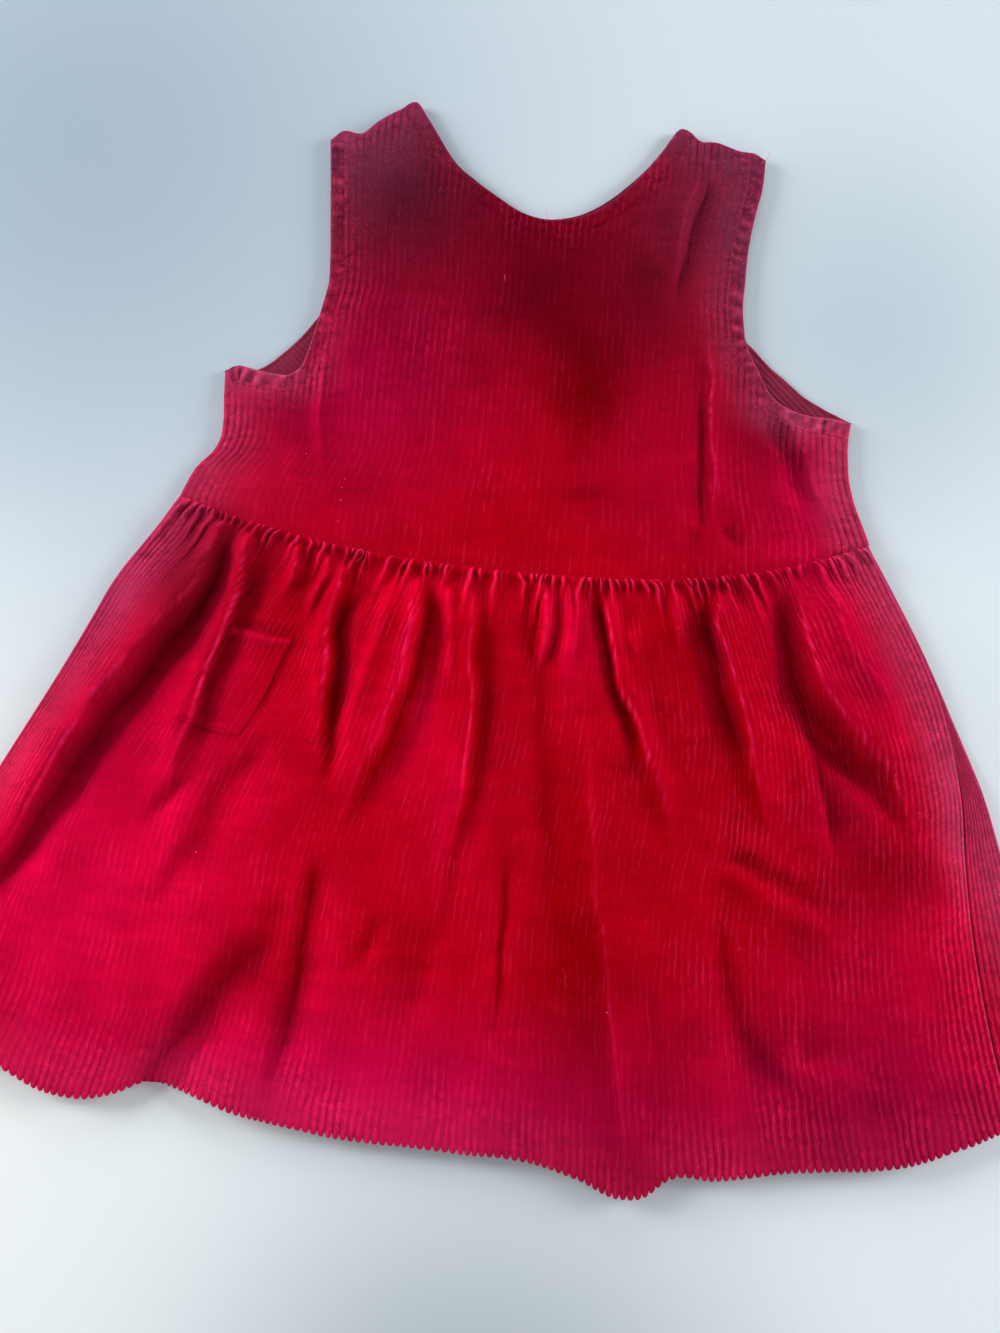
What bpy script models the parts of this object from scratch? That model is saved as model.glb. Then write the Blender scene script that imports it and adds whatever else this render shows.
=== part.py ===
"""Child's sleeveless pinafore dress (sarafan) in wide-wale corduroy, laid flat on a table.

Sizes are in millimetres in the tables and become metres where points are placed. Garment
coordinates: x to the right, y up towards the neck with 0 at the middle of the waist seam,
z up from the table. Each cut piece is one closed wall, made by shaping a grid: the grid's
columns follow the cords of the cloth and its rows run across them.
"""

import bmesh
import bpy
import numpy as np

MM = 0.001

# cloth
CORD_PITCH = 3.175  # eight cords to the inch
CORD_RISE = 0.9  # pile above the ground of the cloth
WALL = 1.2  # ground of the cloth, without its cords
UNDER_WALL = 1.5  # the layer that lies on the table
GAP = 0.3  # between neighbouring pieces

# cut of the dress, as it lies
WAIST_LEFT, WAIST_RIGHT = -159.0, 160.0  # ends of the waist seam
WAIST_LOW_X = 20.0  # where the waist seam hangs lowest
WAIST_RISE = 25.5  # how far its ends curve up
WAIST_POWER = 2.45
HEM_LEFT, HEM_RIGHT, HEM_RIGHT_FRONT = -274.0, 252.0, 226.0
LAY_CENTRE = (-11.0, -15.0)  # middle of the laid dress, moved to the origin

SKIRT_CORDS = 160
GATHERS = 46
GATHER_RISE = 3.2
BAND = 8.5  # turned and stitched edge of neck and armholes
BAND_PUFF = 0.7
STITCH_SINK = 0.35

# how far the cloth stands off the layer beneath it
LOFT_BODICE = 2.2
LOFT_SKIRT = 6.2
LOFT_REACH = 13.0  # distance from a side in which it rises
FOLD_DRAW = 3.5  # most that a fold's slopes may take up of the cloth's spare width
CORD_STIFFNESS = 0.12  # share of the skirt's length over which a cord keeps its direction

CLOTH_RED = (0.42, 0.004, 0.035, 1.0)
SHADE_RED = (0.24, 0.003, 0.025, 1.0)


def table(columns, *rows):
    """Rows of numbers as one array for each named column."""
    return {name: np.array(values, float) for name, values in zip(columns.split(), zip(*rows))}


# outlines of the skirt
SKIRT_LEFT = table("y x", (25, -159), (7, -169), (-15, -183), (-38, -193), (-67, -206), (-107, -225),
                   (-160, -250), (-212, HEM_LEFT))
SKIRT_RIGHT = table("y x", (25, 160), (7, 170), (-21, 185), (-47, 197), (-86, 213), (-115, 222),
                    (-165, 238), (-211, HEM_RIGHT))
SKIRT_RIGHT_FRONT = table("y x", (25, 158.6), (7, 168.4), (-21, 183), (-40, 191.5), (-60, 197.5), (-88, 203),
                          (-110, 204.5), (-136, 207), (-167, 212), (-190, 217), (-222, HEM_RIGHT_FRONT))
HEM_FRONT = table("x y", (HEM_LEFT, -212), (-240, -220), (-206, -229), (-187, -237), (-168, -239.5),
                  (-153, -236), (-141, -231), (-128, -233.5), (-102, -241), (-60, -247), (-6, -249.5),
                  (23, -251), (43, -256), (61, -262), (71, -261), (81, -253.5), (100, -252), (134, -246.5),
                  (182, -240), (204, -232), (HEM_RIGHT_FRONT, -222))
HEM_BACK = table("x y", (HEM_LEFT, -212), (-206, -226), (-160, -233), (-120, -233), (-60, -243), (0, -246),
                 (90, -248), (150, -241), (200, -231), (HEM_RIGHT_FRONT, -221.5), (HEM_RIGHT, -211))

# outlines of the bodice
SIDE_LEFT = table("y x", (25, -159), (41, -152), (48, -146), (54, -143.5), (63, -143), (74, -144), (88, -145))
SIDE_RIGHT = table("y x", (25, 160), (33, 157), (43, 153), (54, 150), (64, 149), (77, 149), (84, 150))
STRAP_LEFT = table("y x", (122, -102.5), (135, -100.5), (147, -101), (169, -103), (190, -105), (209, -107))
STRAP_RIGHT = table("y x", (122, 98.5), (137, 97), (149, 97.5), (167, 98.5), (184, 101), (199, 104),
                    (214, 105))
ARMHOLE_LEFT = table("x y", (-145, 87), (-140, 90), (-131, 89), (-121, 87.5), (-113, 88.5), (-108.5, 94),
                     (-105, 109), (-102.5, 122))
ARMHOLE_LEFT_BACK = table("x y", (-145, 87), (-137, 88), (-128, 91), (-119, 99), (-110, 109.5), (-102.5, 121))
ARMHOLE_RIGHT = table("x y", (98.5, 122), (101, 115), (106, 105), (110, 97), (115, 91.5), (121, 88),
                      (130, 85.5), (141, 85), (150, 83.5))
ARMHOLE_RIGHT_BACK = table("x y", (98.5, 122), (104, 117), (110, 110.5), (119, 103), (128, 95.5), (137, 90.5),
                           (150, 84.5))
NECK_AND_SHOULDERS = table("x y", (-107, 209), (-103, 213), (-90, 214), (-86, 218), (-75, 227), (-66, 232),
                           (-61, 225), (-53, 213), (-45, 201), (-36, 193.5), (-23, 185), (-12, 178.5),
                           (-1, 175.5), (10, 176), (22, 180), (33, 188), (42, 198), (50, 208), (57, 219),
                           (62, 227), (68, 226), (72, 222), (80, 221), (91, 217.5), (101, 216.5), (105, 214))

# Folds: a fold runs from (x0, y0) to (x1, y1), bowed to its right by sag at its middle. It stands
# rise above the cloth beside it (a trough has a negative rise), is left and right wide to each side
# and is highest at the fraction peak of its length.
FOLD_COLUMNS = "x0 y0 x1 y1 sag rise left right peak"
SKIRT_FOLDS = table(
    FOLD_COLUMNS,
    (-142, 14, -222, -150, -5, 8.4, 16, 5.5, 0.30),
    (-133, 16, -216, -142, -4, -5.9, 5, 9, 0.35),
    (-124, 18, -146, -104, -3, 7.0, 12, 4.5, 0.30),
    (-122, -18, -143, -92, -2, -4.8, 4.6, 8, 0.45),
    (-122, -112, -153, -168, 2, -2.8, 7, 7, 0.50),
    (-101, 14, -108, -32, 0, 4.2, 6, 3.5, 0.30),
    (-81, 4, -80, -80, -3, 7.0, 11, 3.6, 0.35),
    (-77, -8, -76, -102, 1, -6.4, 4.6, 6, 0.40),
    (-60, -8, -76, -92, 1, 3.9, 6, 5, 0.40),
    (-48, 2, -79, -134, 7, 6.4, 13, 5, 0.35),
    (-50, -54, -80, -144, 3, -4.5, 4.6, 8, 0.50),
    (-81, -140, -89, -236, -1, -4.2, 4.6, 8, 0.50),
    (-33, 4, -29, -42, 0, 3.1, 4.5, 4, 0.30),
    (-20, 3, -20, -134, 3, 5.3, 11, 4, 0.30),
    (-13, -30, -20, -132, 1, -3.6, 4.6, 8, 0.40),
    (2, -6, 22, -104, 0, -5.9, 6, 8, 0.45),
    (20, -84, 63, -270, -2, -5.0, 9, 13, 0.75),
    (15, 2, 13, -44, 2, 3.9, 5, 3.5, 0.30),
    (25, 2, 26, -34, 0, 3.1, 4, 3.5, 0.30),
    (33, 3, 44, -44, 1, 4.2, 5, 3.2, 0.35),
    (39, -4, 66, -94, 2, -5.3, 4.6, 6, 0.40),
    (44, 1, 60, -68, 1, 3.6, 3.4, 5, 0.35),
    (73, 2, 75, -26, 0, 2.5, 4, 4, 0.30),
    (94, 4, 119, -124, -3, 7.3, 4.2, 13, 0.35),
    (85, -10, 113, -104, -3, -5.0, 9, 4.6, 0.45),
    (119, 8, 184, -120, -7, -6.7, 9, 4.6, 0.50),
    (124, 12, 182, -98, -7, 7.0, 5, 15, 0.40),
    (137, 14, 168, -58, 2, 3.1, 7, 10, 0.30),
    (86, -108, 150, -137, 3, 4.5, 6, 2.6, 0.45),
    (84, -114, 150, -141, 3, -4.8, 4.6, 7, 0.45),
    (108, -158, 174, -220, -9, -3.6, 5, 10, 0.40),
    (73, -156, 82, -262, 0, -2.5, 4, 5, 0.80),
    (-120, -170, -142, -240, -4, -4.8, 6, 8, 0.85),
    (-97, -168, -109, -212, 0, -2.2, 5, 6, 0.50),
    (-17, -112, -40, -206, 6, -2.8, 5, 9, 0.50),
    (-50, -156, -58, -174, 0, -1.7, 4, 4, 0.50),
    (7, -108, 1, -220, 3, -1.7, 3, 4, 0.50),
)
BODICE_FOLDS = table(
    FOLD_COLUMNS,
    (85, 134, 88, 26, -3, 2.3, 3.6, 10, 0.35),
    (80, 128, 83, 26, -3, -1.2, 6, 3.5, 0.45),
    (88, 216, 71, 138, 2, 1.4, 4, 5, 0.45),
    (104, 96, 135, 38, 0, -2.0, 7, 4, 0.45),
    (110, 98, 142, 38, 0, 2.0, 4, 8, 0.45),
    (95, 36, 104, 18, 0, -1.2, 3, 3, 0.50),
    (-97, 114, -96, 46, 0, 1.1, 3, 6, 0.40),
    (49, 136, 55, 66, 0, 1.5, 5, 6, 0.45),
    (-14, 168, 30, 72, 3, -1.7, 8, 10, 0.60),
    (30, 70, 50, 152, 4, -1.7, 9, 7, 0.45),
    (-2, 37, 62, 39, 0, -1.3, 8, 8, 0.50),
    (-60, 60, -44, 14, 0, -0.9, 5, 4, 0.60),
    (-34, 128, -20, 84, 0, -1.0, 7, 7, 0.50),
)


def through(x, points, across, along):
    """A smooth curve through a table's points: the value of column along at x of column across."""
    order = np.argsort(points[across])
    xs, ys = points[across][order], points[along][order]
    slopes = np.gradient(ys, xs)
    x = np.clip(x, xs[0], xs[-1])
    k = np.clip(np.searchsorted(xs, x) - 1, 0, len(xs) - 2)
    step = xs[k + 1] - xs[k]
    t = (x - xs[k]) / step
    start = (1 + 2 * t) * (1 - t) ** 2 * ys[k] + t * (1 - t) ** 2 * slopes[k] * step
    end = t * t * (3 - 2 * t) * ys[k + 1] - t * t * (1 - t) * slopes[k + 1] * step
    return start + end


def ease(t):
    """0 to 1 with a level start and end."""
    t = np.clip(t, 0.0, 1.0)
    return t * t * (3 - 2 * t)


def waistLine(x):
    """Height of the waist seam at x."""
    span = np.where(x < WAIST_LOW_X, WAIST_LOW_X - WAIST_LEFT, WAIST_RIGHT - WAIST_LOW_X)
    return WAIST_RISE * (np.abs(x - WAIST_LOW_X) / span) ** WAIST_POWER


def foldRise(x, y, folds):
    """Sum of a table's folds at the points x, y."""
    rise = np.zeros_like(x)
    for x0, y0, x1, y1, sag, high, left, right, peak in zip(*(folds[name] for name in FOLD_COLUMNS.split())):
        length = np.hypot(x1 - x0, y1 - y0)
        runX, runY = (x1 - x0) / length, (y1 - y0) / length
        along = ((x - x0) * runX + (y - y0) * runY) / length
        aside = (y - y0) * runX - (x - x0) * runY - 4 * sag * along * (1 - along)
        swell = np.where(along < peak, ease(along / peak), ease((1 - along) / (1 - peak)))
        width = np.where(aside < 0, left, right)
        rise += high * swell * np.exp(-((aside / width) ** 2))
    return rise


def gatherRise(across, down):
    """Gathers under the waist seam: across counts gathers, down is the distance from the seam."""
    uneven = across + 0.28 * np.sin(1.9 * across) + 0.2 * np.sin(4.3 * across + 1.0)
    which = np.floor(uneven)
    strength = 0.75 + 0.25 * np.sin(2.7 * which) + 0.15 * np.sin(5.9 * which + 2.0)
    reach = 24 + 12 * np.sin(3.7 * which + 0.6)
    profile = (0.5 + 0.5 * np.cos(2 * np.pi * (uneven - which - 0.5))) ** 0.8
    fade = (0.45 + 0.55 * ease(down / 5)) * np.exp(-((down / reach) ** 1.6))
    return GATHER_RISE * strength * profile * fade


class Skirt:
    """A skirt panel between the waist seam and its hem."""

    def __init__(self, right, hem, hemRight):
        self.right, self.hem, self.hemRight = right, hem, hemRight

    def plan(self, s, v):
        """Point in the plan: s from side to side, v from the waist seam down."""
        waistRight = self.right["x"][0]
        waistX = WAIST_LEFT + s * (waistRight - WAIST_LEFT)
        hemX = HEM_LEFT + s * (self.hemRight - HEM_LEFT)
        waistY, hemY = waistLine(waistX) - GAP / 2, through(hemX, self.hem, "x", "y")
        x, y = (1 - v) * waistX + v * hemX, (1 - v) * waistY + v * hemY
        for side, weight, start, end in ((SKIRT_LEFT, 1 - s, WAIST_LEFT, HEM_LEFT),
                                         (self.right, s, waistRight, self.hemRight)):
            sideY = side["y"][0] + v * (side["y"][-1] - side["y"][0])
            x = x + weight * (through(sideY, side, "y", "x") - (1 - v) * start - v * end)
        return x, y

    def lie(self, s, v):
        """Plan point and the height of the cloth's inner face, without gathers."""
        x, y = self.plan(s, v)
        fromSide = np.minimum(s, 1 - s) * (self.hemRight - HEM_LEFT) * (0.62 + 0.38 * v)
        loft = LOFT_SKIRT * (0.55 + 0.45 * ease(v / 0.2)) * (1 - 0.55 * ease((v - 0.6) / 0.4))
        rise = loft * (1 - np.exp(-fromSide / LOFT_REACH)) + foldRise(x, y, SKIRT_FOLDS) * ease(fromSide / 14)
        return x, y, UNDER_WALL + GAP + np.maximum(rise, 0.0)

    def cords(self, count, rows):
        """Places across each row where the cords lie: evenly along the cloth, not along the plan.

        The cloth is as wide at the waist as at the hem. What is spare goes into the folds' slopes.
        """
        s, v = np.linspace(0, 1, 801), np.linspace(0, 1, 61)
        x, y, z = self.lie(np.tile(s, (61, 1)), np.repeat(v[:, None], 801, axis=1))
        flat, climb = np.hypot(np.diff(x), np.diff(y)), np.abs(np.diff(z))
        draws = np.linspace(0, FOLD_DRAW, 12)
        widths = np.array([np.hypot(flat, draw * climb).sum(axis=1) for draw in draws])
        cloth = SKIRT_CORDS * CORD_PITCH
        draw = np.array([np.interp(cloth, wide, draws) for wide in widths.T])
        run = np.pad(np.cumsum(np.hypot(flat, draw[:, None] * climb), axis=1), ((0, 0), (1, 0)))
        places = np.array([np.interp(np.linspace(0, r[-1], count), r, s) for r in run])
        blend = np.exp(-(((v[:, None] - v[None, :]) / CORD_STIFFNESS) ** 2))
        places = blend @ places / blend.sum(axis=1, keepdims=True)
        return np.array([[np.interp(row, v, line) for line in places.T] for row in rows])


FRONT_SKIRT = Skirt(SKIRT_RIGHT_FRONT, HEM_FRONT, HEM_RIGHT_FRONT)
BACK_SKIRT = Skirt(SKIRT_RIGHT, HEM_BACK, HEM_RIGHT)
SKIRT_ROWS = np.array([0, 0.022, 0.065, 0.13, 0.21, 0.29, 0.37, 0.52, 0.74, 1.0])


def faceOut(x, y, z, lift):
    """Moves a grid of points out by lift, square to its slopes, and leaves each in its own row."""
    alongX, alongY, alongZ = (np.gradient(a, axis=0) for a in (x, y, z))
    acrossX, acrossY, acrossZ = (np.gradient(a, axis=1) for a in (x, y, z))
    normal = np.stack([acrossY * alongZ - acrossZ * alongY, acrossZ * alongX - acrossX * alongZ,
                       acrossX * alongY - acrossY * alongX])
    normal *= np.sign(normal[2]) / np.linalg.norm(normal, axis=0)
    return x + normal[0] * lift, z + lift * (1 - normal[0] ** 2) / normal[2]


def shapeWall(name, inner, outer, innerStep, colour, missing=None):
    """One closed wall between two grids of points, each an (x, y, z) of rows by columns.

    innerStep is the step between the columns that the plain inner face keeps. missing marks the
    cells that the cut leaves out.
    """
    rows, columns = inner[0].shape
    mesh = bmesh.new()
    bmesh.ops.create_grid(mesh, x_segments=columns - 1, y_segments=rows - 1, size=0.5)
    rowOf = mesh.verts.layers.int.new("row")
    columnOf = mesh.verts.layers.int.new("column")
    for vert in mesh.verts:
        vert[rowOf] = round((vert.co.y + 0.5) * (rows - 1))
        vert[columnOf] = round((vert.co.x + 0.5) * (columns - 1))
    if missing is not None:
        cut = [f for f in mesh.faces
               if missing[min(v[rowOf] for v in f.verts), min(v[columnOf] for v in f.verts)]]
        bmesh.ops.delete(mesh, geom=cut, context="FACES")
    within = list(mesh.verts)
    raised = bmesh.ops.extrude_face_region(mesh, geom=list(mesh.faces))["geom"]
    without = [part for part in raised if isinstance(part, bmesh.types.BMVert)]
    for verts, points in ((within, inner), (without, outer)):
        for vert in verts:
            place = (vert[rowOf], vert[columnOf])
            vert.co = [(points[axis][place] - shift) * MM for axis, shift in enumerate((*LAY_CENTRE, 0.0))]
    thinInside(mesh, within, columnOf, innerStep)
    bmesh.ops.recalc_face_normals(mesh, faces=mesh.faces)
    return addPiece(name, mesh, colour)


def thinInside(mesh, within, columnOf, step):
    """Leaves every step-th column on the inner face, which shows no cords."""
    inside = set(within)
    spare = []
    for edge in mesh.edges:
        ends = edge.verts
        down = ends[0][columnOf] == ends[1][columnOf] and inside.issuperset(ends)
        if down and ends[0][columnOf] % step:
            if all(inside.issuperset(face.verts) for face in edge.link_faces):
                spare.append(edge)
    bmesh.ops.dissolve_edges(mesh, edges=spare, use_verts=True, use_face_split=False)


def addPiece(name, mesh, colour):
    """Links a mesh as a named piece of cloth with its own material."""
    data = bpy.data.meshes.new(name)
    mesh.to_mesh(data)
    mesh.free()
    material = bpy.data.materials.new(name + "_cord")
    material.use_nodes = True
    shader = material.node_tree.nodes["Principled BSDF"]
    shader.inputs["Base Color"].default_value = colour
    shader.inputs["Roughness"].default_value = 0.9
    shader.inputs["Metallic"].default_value = 0.0
    data.materials.append(material)
    piece = bpy.data.objects.new(name, data)
    piece.parent = bpy.data.objects["sarafan_dress"]
    bpy.data.collections["sarafan_dress"].objects.link(piece)
    return piece


def cordRidge(columns):
    """1 on the crest of a cord and 0 between two, for a grid with two columns to a cord."""
    return (np.arange(columns) % 2).astype(float)


def skirtGrid(panel, cords, rows):
    """s, v and the fraction of the cords passed, for a grid with two columns to a cord."""
    columns = 2 * cords + 1
    s = panel.cords(columns, rows)
    v = np.repeat(rows[:, None], columns, axis=1)
    passed = np.repeat(np.linspace(0, 1, columns)[None, :], len(rows), axis=0)
    return s, v, passed


def frontSkirtFaces(s, v, passed):
    """Inner face and ground of the outer face of the front skirt."""
    x, y, z = FRONT_SKIRT.lie(s, v)
    down = v * (waistLine(x) + 250)
    gather = gatherRise(passed * GATHERS, down)
    inner = (x, y, z + 0.3 * gather)
    outX, outZ = faceOut(x, y, z, WALL)
    inside = ease(np.minimum(s, 1 - s) / 0.03)  # the sides stay where the side seams are
    return inner, (x + inside * (outX - x), y, outZ + gather)


def frontSkirtGround():
    """Inner face and ground of the whole front skirt on its own rows."""
    s, v, passed = skirtGrid(FRONT_SKIRT, SKIRT_CORDS, SKIRT_ROWS)
    return frontSkirtFaces(s, v, passed)


def frontSkirt():
    inner, (x, y, z) = frontSkirtGround()
    nearWaist = 0.55 + 0.45 * ease(SKIRT_ROWS[:, None] / 0.1)
    cord = cordRidge(x.shape[1]) * CORD_RISE * nearWaist
    return shapeWall("front_skirt", inner, (x, y, z + cord), 2, CLOTH_RED)


POCKET_FROM, POCKET_TO = 30, 41  # cords of the front skirt that the pocket covers
POCKET_ROWS = table("v puff", (0.184, 0.3), (0.190, 1), (0.206, 1), (0.21, 0), (0.29, 0), (0.37, 0))
POCKET_BAND_PUFF = 0.7
POCKET_CLEAR = 0.6  # over the crests of the skirt's cords
POCKET_WALL = 0.9


def pocket():
    """Patch pocket: points of the front skirt's own face, moved out past its cords."""
    part = slice(2 * POCKET_FROM, 2 * POCKET_TO + 1)
    face = [axis[:, part] for axis in frontSkirtGround()[1]]
    place = np.interp(POCKET_ROWS["v"], SKIRT_ROWS, np.arange(len(SKIRT_ROWS)))
    row = np.minimum(place.astype(int), len(SKIRT_ROWS) - 2)
    share = (place - row)[:, None]
    x, y, z = ((1 - share) * axis[row] + share * axis[row + 1] for axis in face)
    under = z + CORD_RISE + POCKET_CLEAR
    band = POCKET_BAND_PUFF * POCKET_ROWS["puff"][:, None]
    outer = under + POCKET_WALL + band + cordRidge(x.shape[1]) * CORD_RISE
    return shapeWall("pocket", (x, y, under), (x, y, outer), 2, CLOTH_RED)


FOLDED_CORDS = 9  # cords of the back that fold over to the top, right of the side seam
FOLD_GAP = 0.4  # between the side seam and the front's edge


def backSkirt():
    """The layer on the table. Right of the front's side seam it folds over to the top."""
    inward = np.linspace(0, 1, 15)
    overlap = np.linspace(0, 1, 2 * FOLDED_CORDS + 1)
    cord = CORD_RISE * np.concatenate([np.zeros(len(inward)), cordRidge(len(overlap))])
    xs, ys, tops = [], [], []
    for v in SKIRT_ROWS:
        seamX = FRONT_SKIRT.plan(np.array([1.0]), np.array([v]))[0][0]
        ends = BACK_SKIRT.plan(np.array([0.0, 1.0]), np.array([v, v]))[0]
        strip = ends[1] - seamX - FOLD_GAP
        under = ends[0] + inward * (ends[1] - strip - 0.1 - ends[0])
        x = np.concatenate([under, ends[1] - strip * (1 - overlap)])
        s = (x - ends[0]) / (ends[1] - ends[0])
        folded = ease((strip - 3) / 7)
        xs.append(x)
        ys.append(BACK_SKIRT.plan(s, np.full_like(s, v))[1])
        tops.append(UNDER_WALL + folded * np.where(x < ends[1] - strip, 0, WALL + cord))
    x, y, top = np.array(xs), np.array(ys), np.array(tops)
    return shapeWall("back_skirt", (x, y, np.zeros_like(x)), (x, y, top), 1, SHADE_RED)


BODICE_LOW = np.array([0, 0.035, 0.34, 0.66, 0.89, 1.0])  # rows from waist to chest line
BODICE_HIGH = np.array([0.33, 0.64, 0.91, 1.0])  # rows from chest line to neck and shoulders
CHEST = 122.0


def bodicePlan(p, cords, rows, armholeLeft, armholeRight, top):
    """Plan of a bodice panel. p counts cords from the left side; rows past 1 are above the chest line.

    cords is the number of cords under the left armhole, across the chest and under the right one.
    """
    atChest = np.cumsum([0, *cords])
    chestX = np.interp(p, atChest, [armholeLeft["x"][0], STRAP_LEFT["x"][0], STRAP_RIGHT["x"][0],
                                    armholeRight["x"][-1]])
    waistX = WAIST_LEFT + p / atChest[-1] * (WAIST_RIGHT - WAIST_LEFT)
    chestY = np.where(p < atChest[1], through(chestX, armholeLeft, "x", "y"),
                      np.where(p > atChest[2], through(chestX, armholeRight, "x", "y"), CHEST))
    waistY = waistLine(waistX) + GAP / 2
    strap = np.clip((p - atChest[1]) / cords[1], 0, 1)
    topX = top["x"][0] + strap * (top["x"][-1] - top["x"][0])
    topY = through(topX, top, "x", "y")
    side = p / atChest[-1]
    xs, ys = [], []
    for row in rows:
        low, high = min(row, 1.0), max(row - 1.0, 0.0)
        y = waistY + low * (chestY - waistY) + high * (topY - chestY)
        x = waistX + low * (chestX - waistX)
        bulge = [through(y, edge, "y", "x") - (edge["x"][0] + low * (edge["x"][-1] - edge["x"][0]))
                 for edge in (SIDE_LEFT, SIDE_RIGHT)]
        x += (1 - high) * ((1 - side) ** 3 * bulge[0] + side ** 3 * bulge[1])
        if high:
            leftX, rightX = through(y, STRAP_LEFT, "y", "x"), through(y, STRAP_RIGHT, "y", "x")
            x = leftX + strap * (rightX - leftX)
        xs.append(x)
        ys.append(y)
    return np.array(xs), np.array(ys)


def edgeDistance(x, y):
    """Distance from the armhole edges and from the neck edge of the front, for their bands."""
    distance = np.full_like(x, 1e3)
    for outline, across in ((ARMHOLE_LEFT, "x"), (ARMHOLE_RIGHT, "x"), (NECK_AND_SHOULDERS, "x"),
                            (STRAP_LEFT, "y"), (STRAP_RIGHT, "y")):
        other = "y" if across == "x" else "x"
        run = np.linspace(outline[across].min(), outline[across].max(), 60)
        line = {across: run, other: through(run, outline, across, other)}
        if outline is NECK_AND_SHOULDERS:
            neck = (run > -63) & (run < 63)
            line = {key: value[neck] for key, value in line.items()}
        away = np.hypot(x[..., None] - line["x"], y[..., None] - line["y"]).min(axis=-1)
        distance = np.minimum(distance, away)
    return distance


def bandRise(distance):
    """Puffed turned edge with a sunk line of stitching behind it."""
    puff = BAND_PUFF * np.clip(1 - ((distance - 0.45 * BAND) / (0.5 * BAND)) ** 2, 0, 1)
    return puff - STITCH_SINK * np.exp(-((distance - BAND) / 1.2) ** 2)


def frontBodice():
    corners = (ARMHOLE_LEFT["x"][0], STRAP_LEFT["x"][0], STRAP_RIGHT["x"][0], ARMHOLE_RIGHT["x"][-1])
    cords = [round(wide / CORD_PITCH) for wide in np.diff(corners)]
    columns = 2 * sum(cords) + 1
    rows = np.concatenate([BODICE_LOW, 1 + BODICE_HIGH])
    p = np.linspace(0, sum(cords), columns)
    x, y = bodicePlan(p, cords, rows, ARMHOLE_LEFT, ARMHOLE_RIGHT, NECK_AND_SHOULDERS)
    fromEdge = edgeDistance(x, y)
    fromSide = np.minimum(x - x[:, :1], x[:, -1:] - x)
    loft = LOFT_BODICE * (1 - np.exp(-fromSide / LOFT_REACH)) * (0.35 + 0.65 * ease(fromEdge / 25))
    fold = foldRise(x, y, BODICE_FOLDS) * ease(fromSide / 10) * ease(fromEdge / 8)
    z = UNDER_WALL + GAP + np.maximum(loft + fold, 0.0)
    seam = 0.5 * ease((8 - (y - waistLine(x))) / 4)
    stitched = STITCH_SINK * np.exp(-((y - waistLine(x) - 2.5) / 1.2) ** 2)
    cord = cordRidge(columns) * CORD_RISE
    outer = z + WALL + cord + bandRise(fromEdge) + seam - stitched
    gone = bodiceGaps(len(rows), p, cords)
    return shapeWall("front_bodice", (x, y, z), (x, y, outer), 4, CLOTH_RED, gone)


def bodiceGaps(rows, p, cords):
    """Cells of the bodice's grid that the armholes leave out."""
    middle = (p[:-1] + p[1:]) / 2
    aside = (middle < cords[0]) | (middle > cords[0] + cords[1])
    above = np.arange(rows - 1) >= len(BODICE_LOW) - 1
    return above[:, None] & aside[None, :]


def backBodice():
    """The layer on the table: higher armholes, seen past the front's, and a plain wall."""
    cords = (6, 24, 6)
    rows = np.array([0, 0.5, 1.0, 1.5, 2.0])
    p = np.linspace(0, sum(cords), sum(cords) + 1)
    top = dict(NECK_AND_SHOULDERS)
    inNeck = np.abs(top["x"]) < 58
    top["y"] = top["y"] - np.where(inNeck, 3.0, 0.6)
    x, y = bodicePlan(p, cords, rows, ARMHOLE_LEFT_BACK, ARMHOLE_RIGHT_BACK, top)
    middle = (p[:-1] + p[1:]) / 2
    aside = (middle < cords[0]) | (middle > cords[0] + cords[1])
    gone = (rows[:-1] >= 1.0)[:, None] & aside[None, :]
    top = np.full_like(x, UNDER_WALL)
    return shapeWall("back_bodice", (x, y, np.zeros_like(x)), (x, y, top), 1, SHADE_RED, gone)


def clearScene():
    for old in list(bpy.data.objects):
        bpy.data.objects.remove(old)
    collection = bpy.data.collections.new("sarafan_dress")
    bpy.context.scene.collection.children.link(collection)
    collection.objects.link(bpy.data.objects.new("sarafan_dress", None))


clearScene()
backBodice()
backSkirt()
frontBodice()
frontSkirt()
pocket()
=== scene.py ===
import math

import bmesh
import bpy
import numpy as np
from mathutils import Matrix, Vector
from mathutils.bvhtree import BVHTree
from mathutils.kdtree import KDTree


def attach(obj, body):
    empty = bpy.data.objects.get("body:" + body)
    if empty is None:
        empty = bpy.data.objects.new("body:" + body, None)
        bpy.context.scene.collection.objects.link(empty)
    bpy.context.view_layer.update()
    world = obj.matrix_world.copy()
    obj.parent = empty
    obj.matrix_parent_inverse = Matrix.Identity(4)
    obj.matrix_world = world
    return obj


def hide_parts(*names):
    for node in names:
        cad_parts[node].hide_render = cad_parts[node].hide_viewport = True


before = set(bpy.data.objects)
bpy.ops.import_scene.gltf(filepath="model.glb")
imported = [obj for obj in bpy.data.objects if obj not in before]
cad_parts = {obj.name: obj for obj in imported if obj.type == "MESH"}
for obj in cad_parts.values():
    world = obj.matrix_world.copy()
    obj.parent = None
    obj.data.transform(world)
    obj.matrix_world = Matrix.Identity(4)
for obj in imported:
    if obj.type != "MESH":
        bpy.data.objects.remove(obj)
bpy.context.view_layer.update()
mm = 0.001

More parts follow.
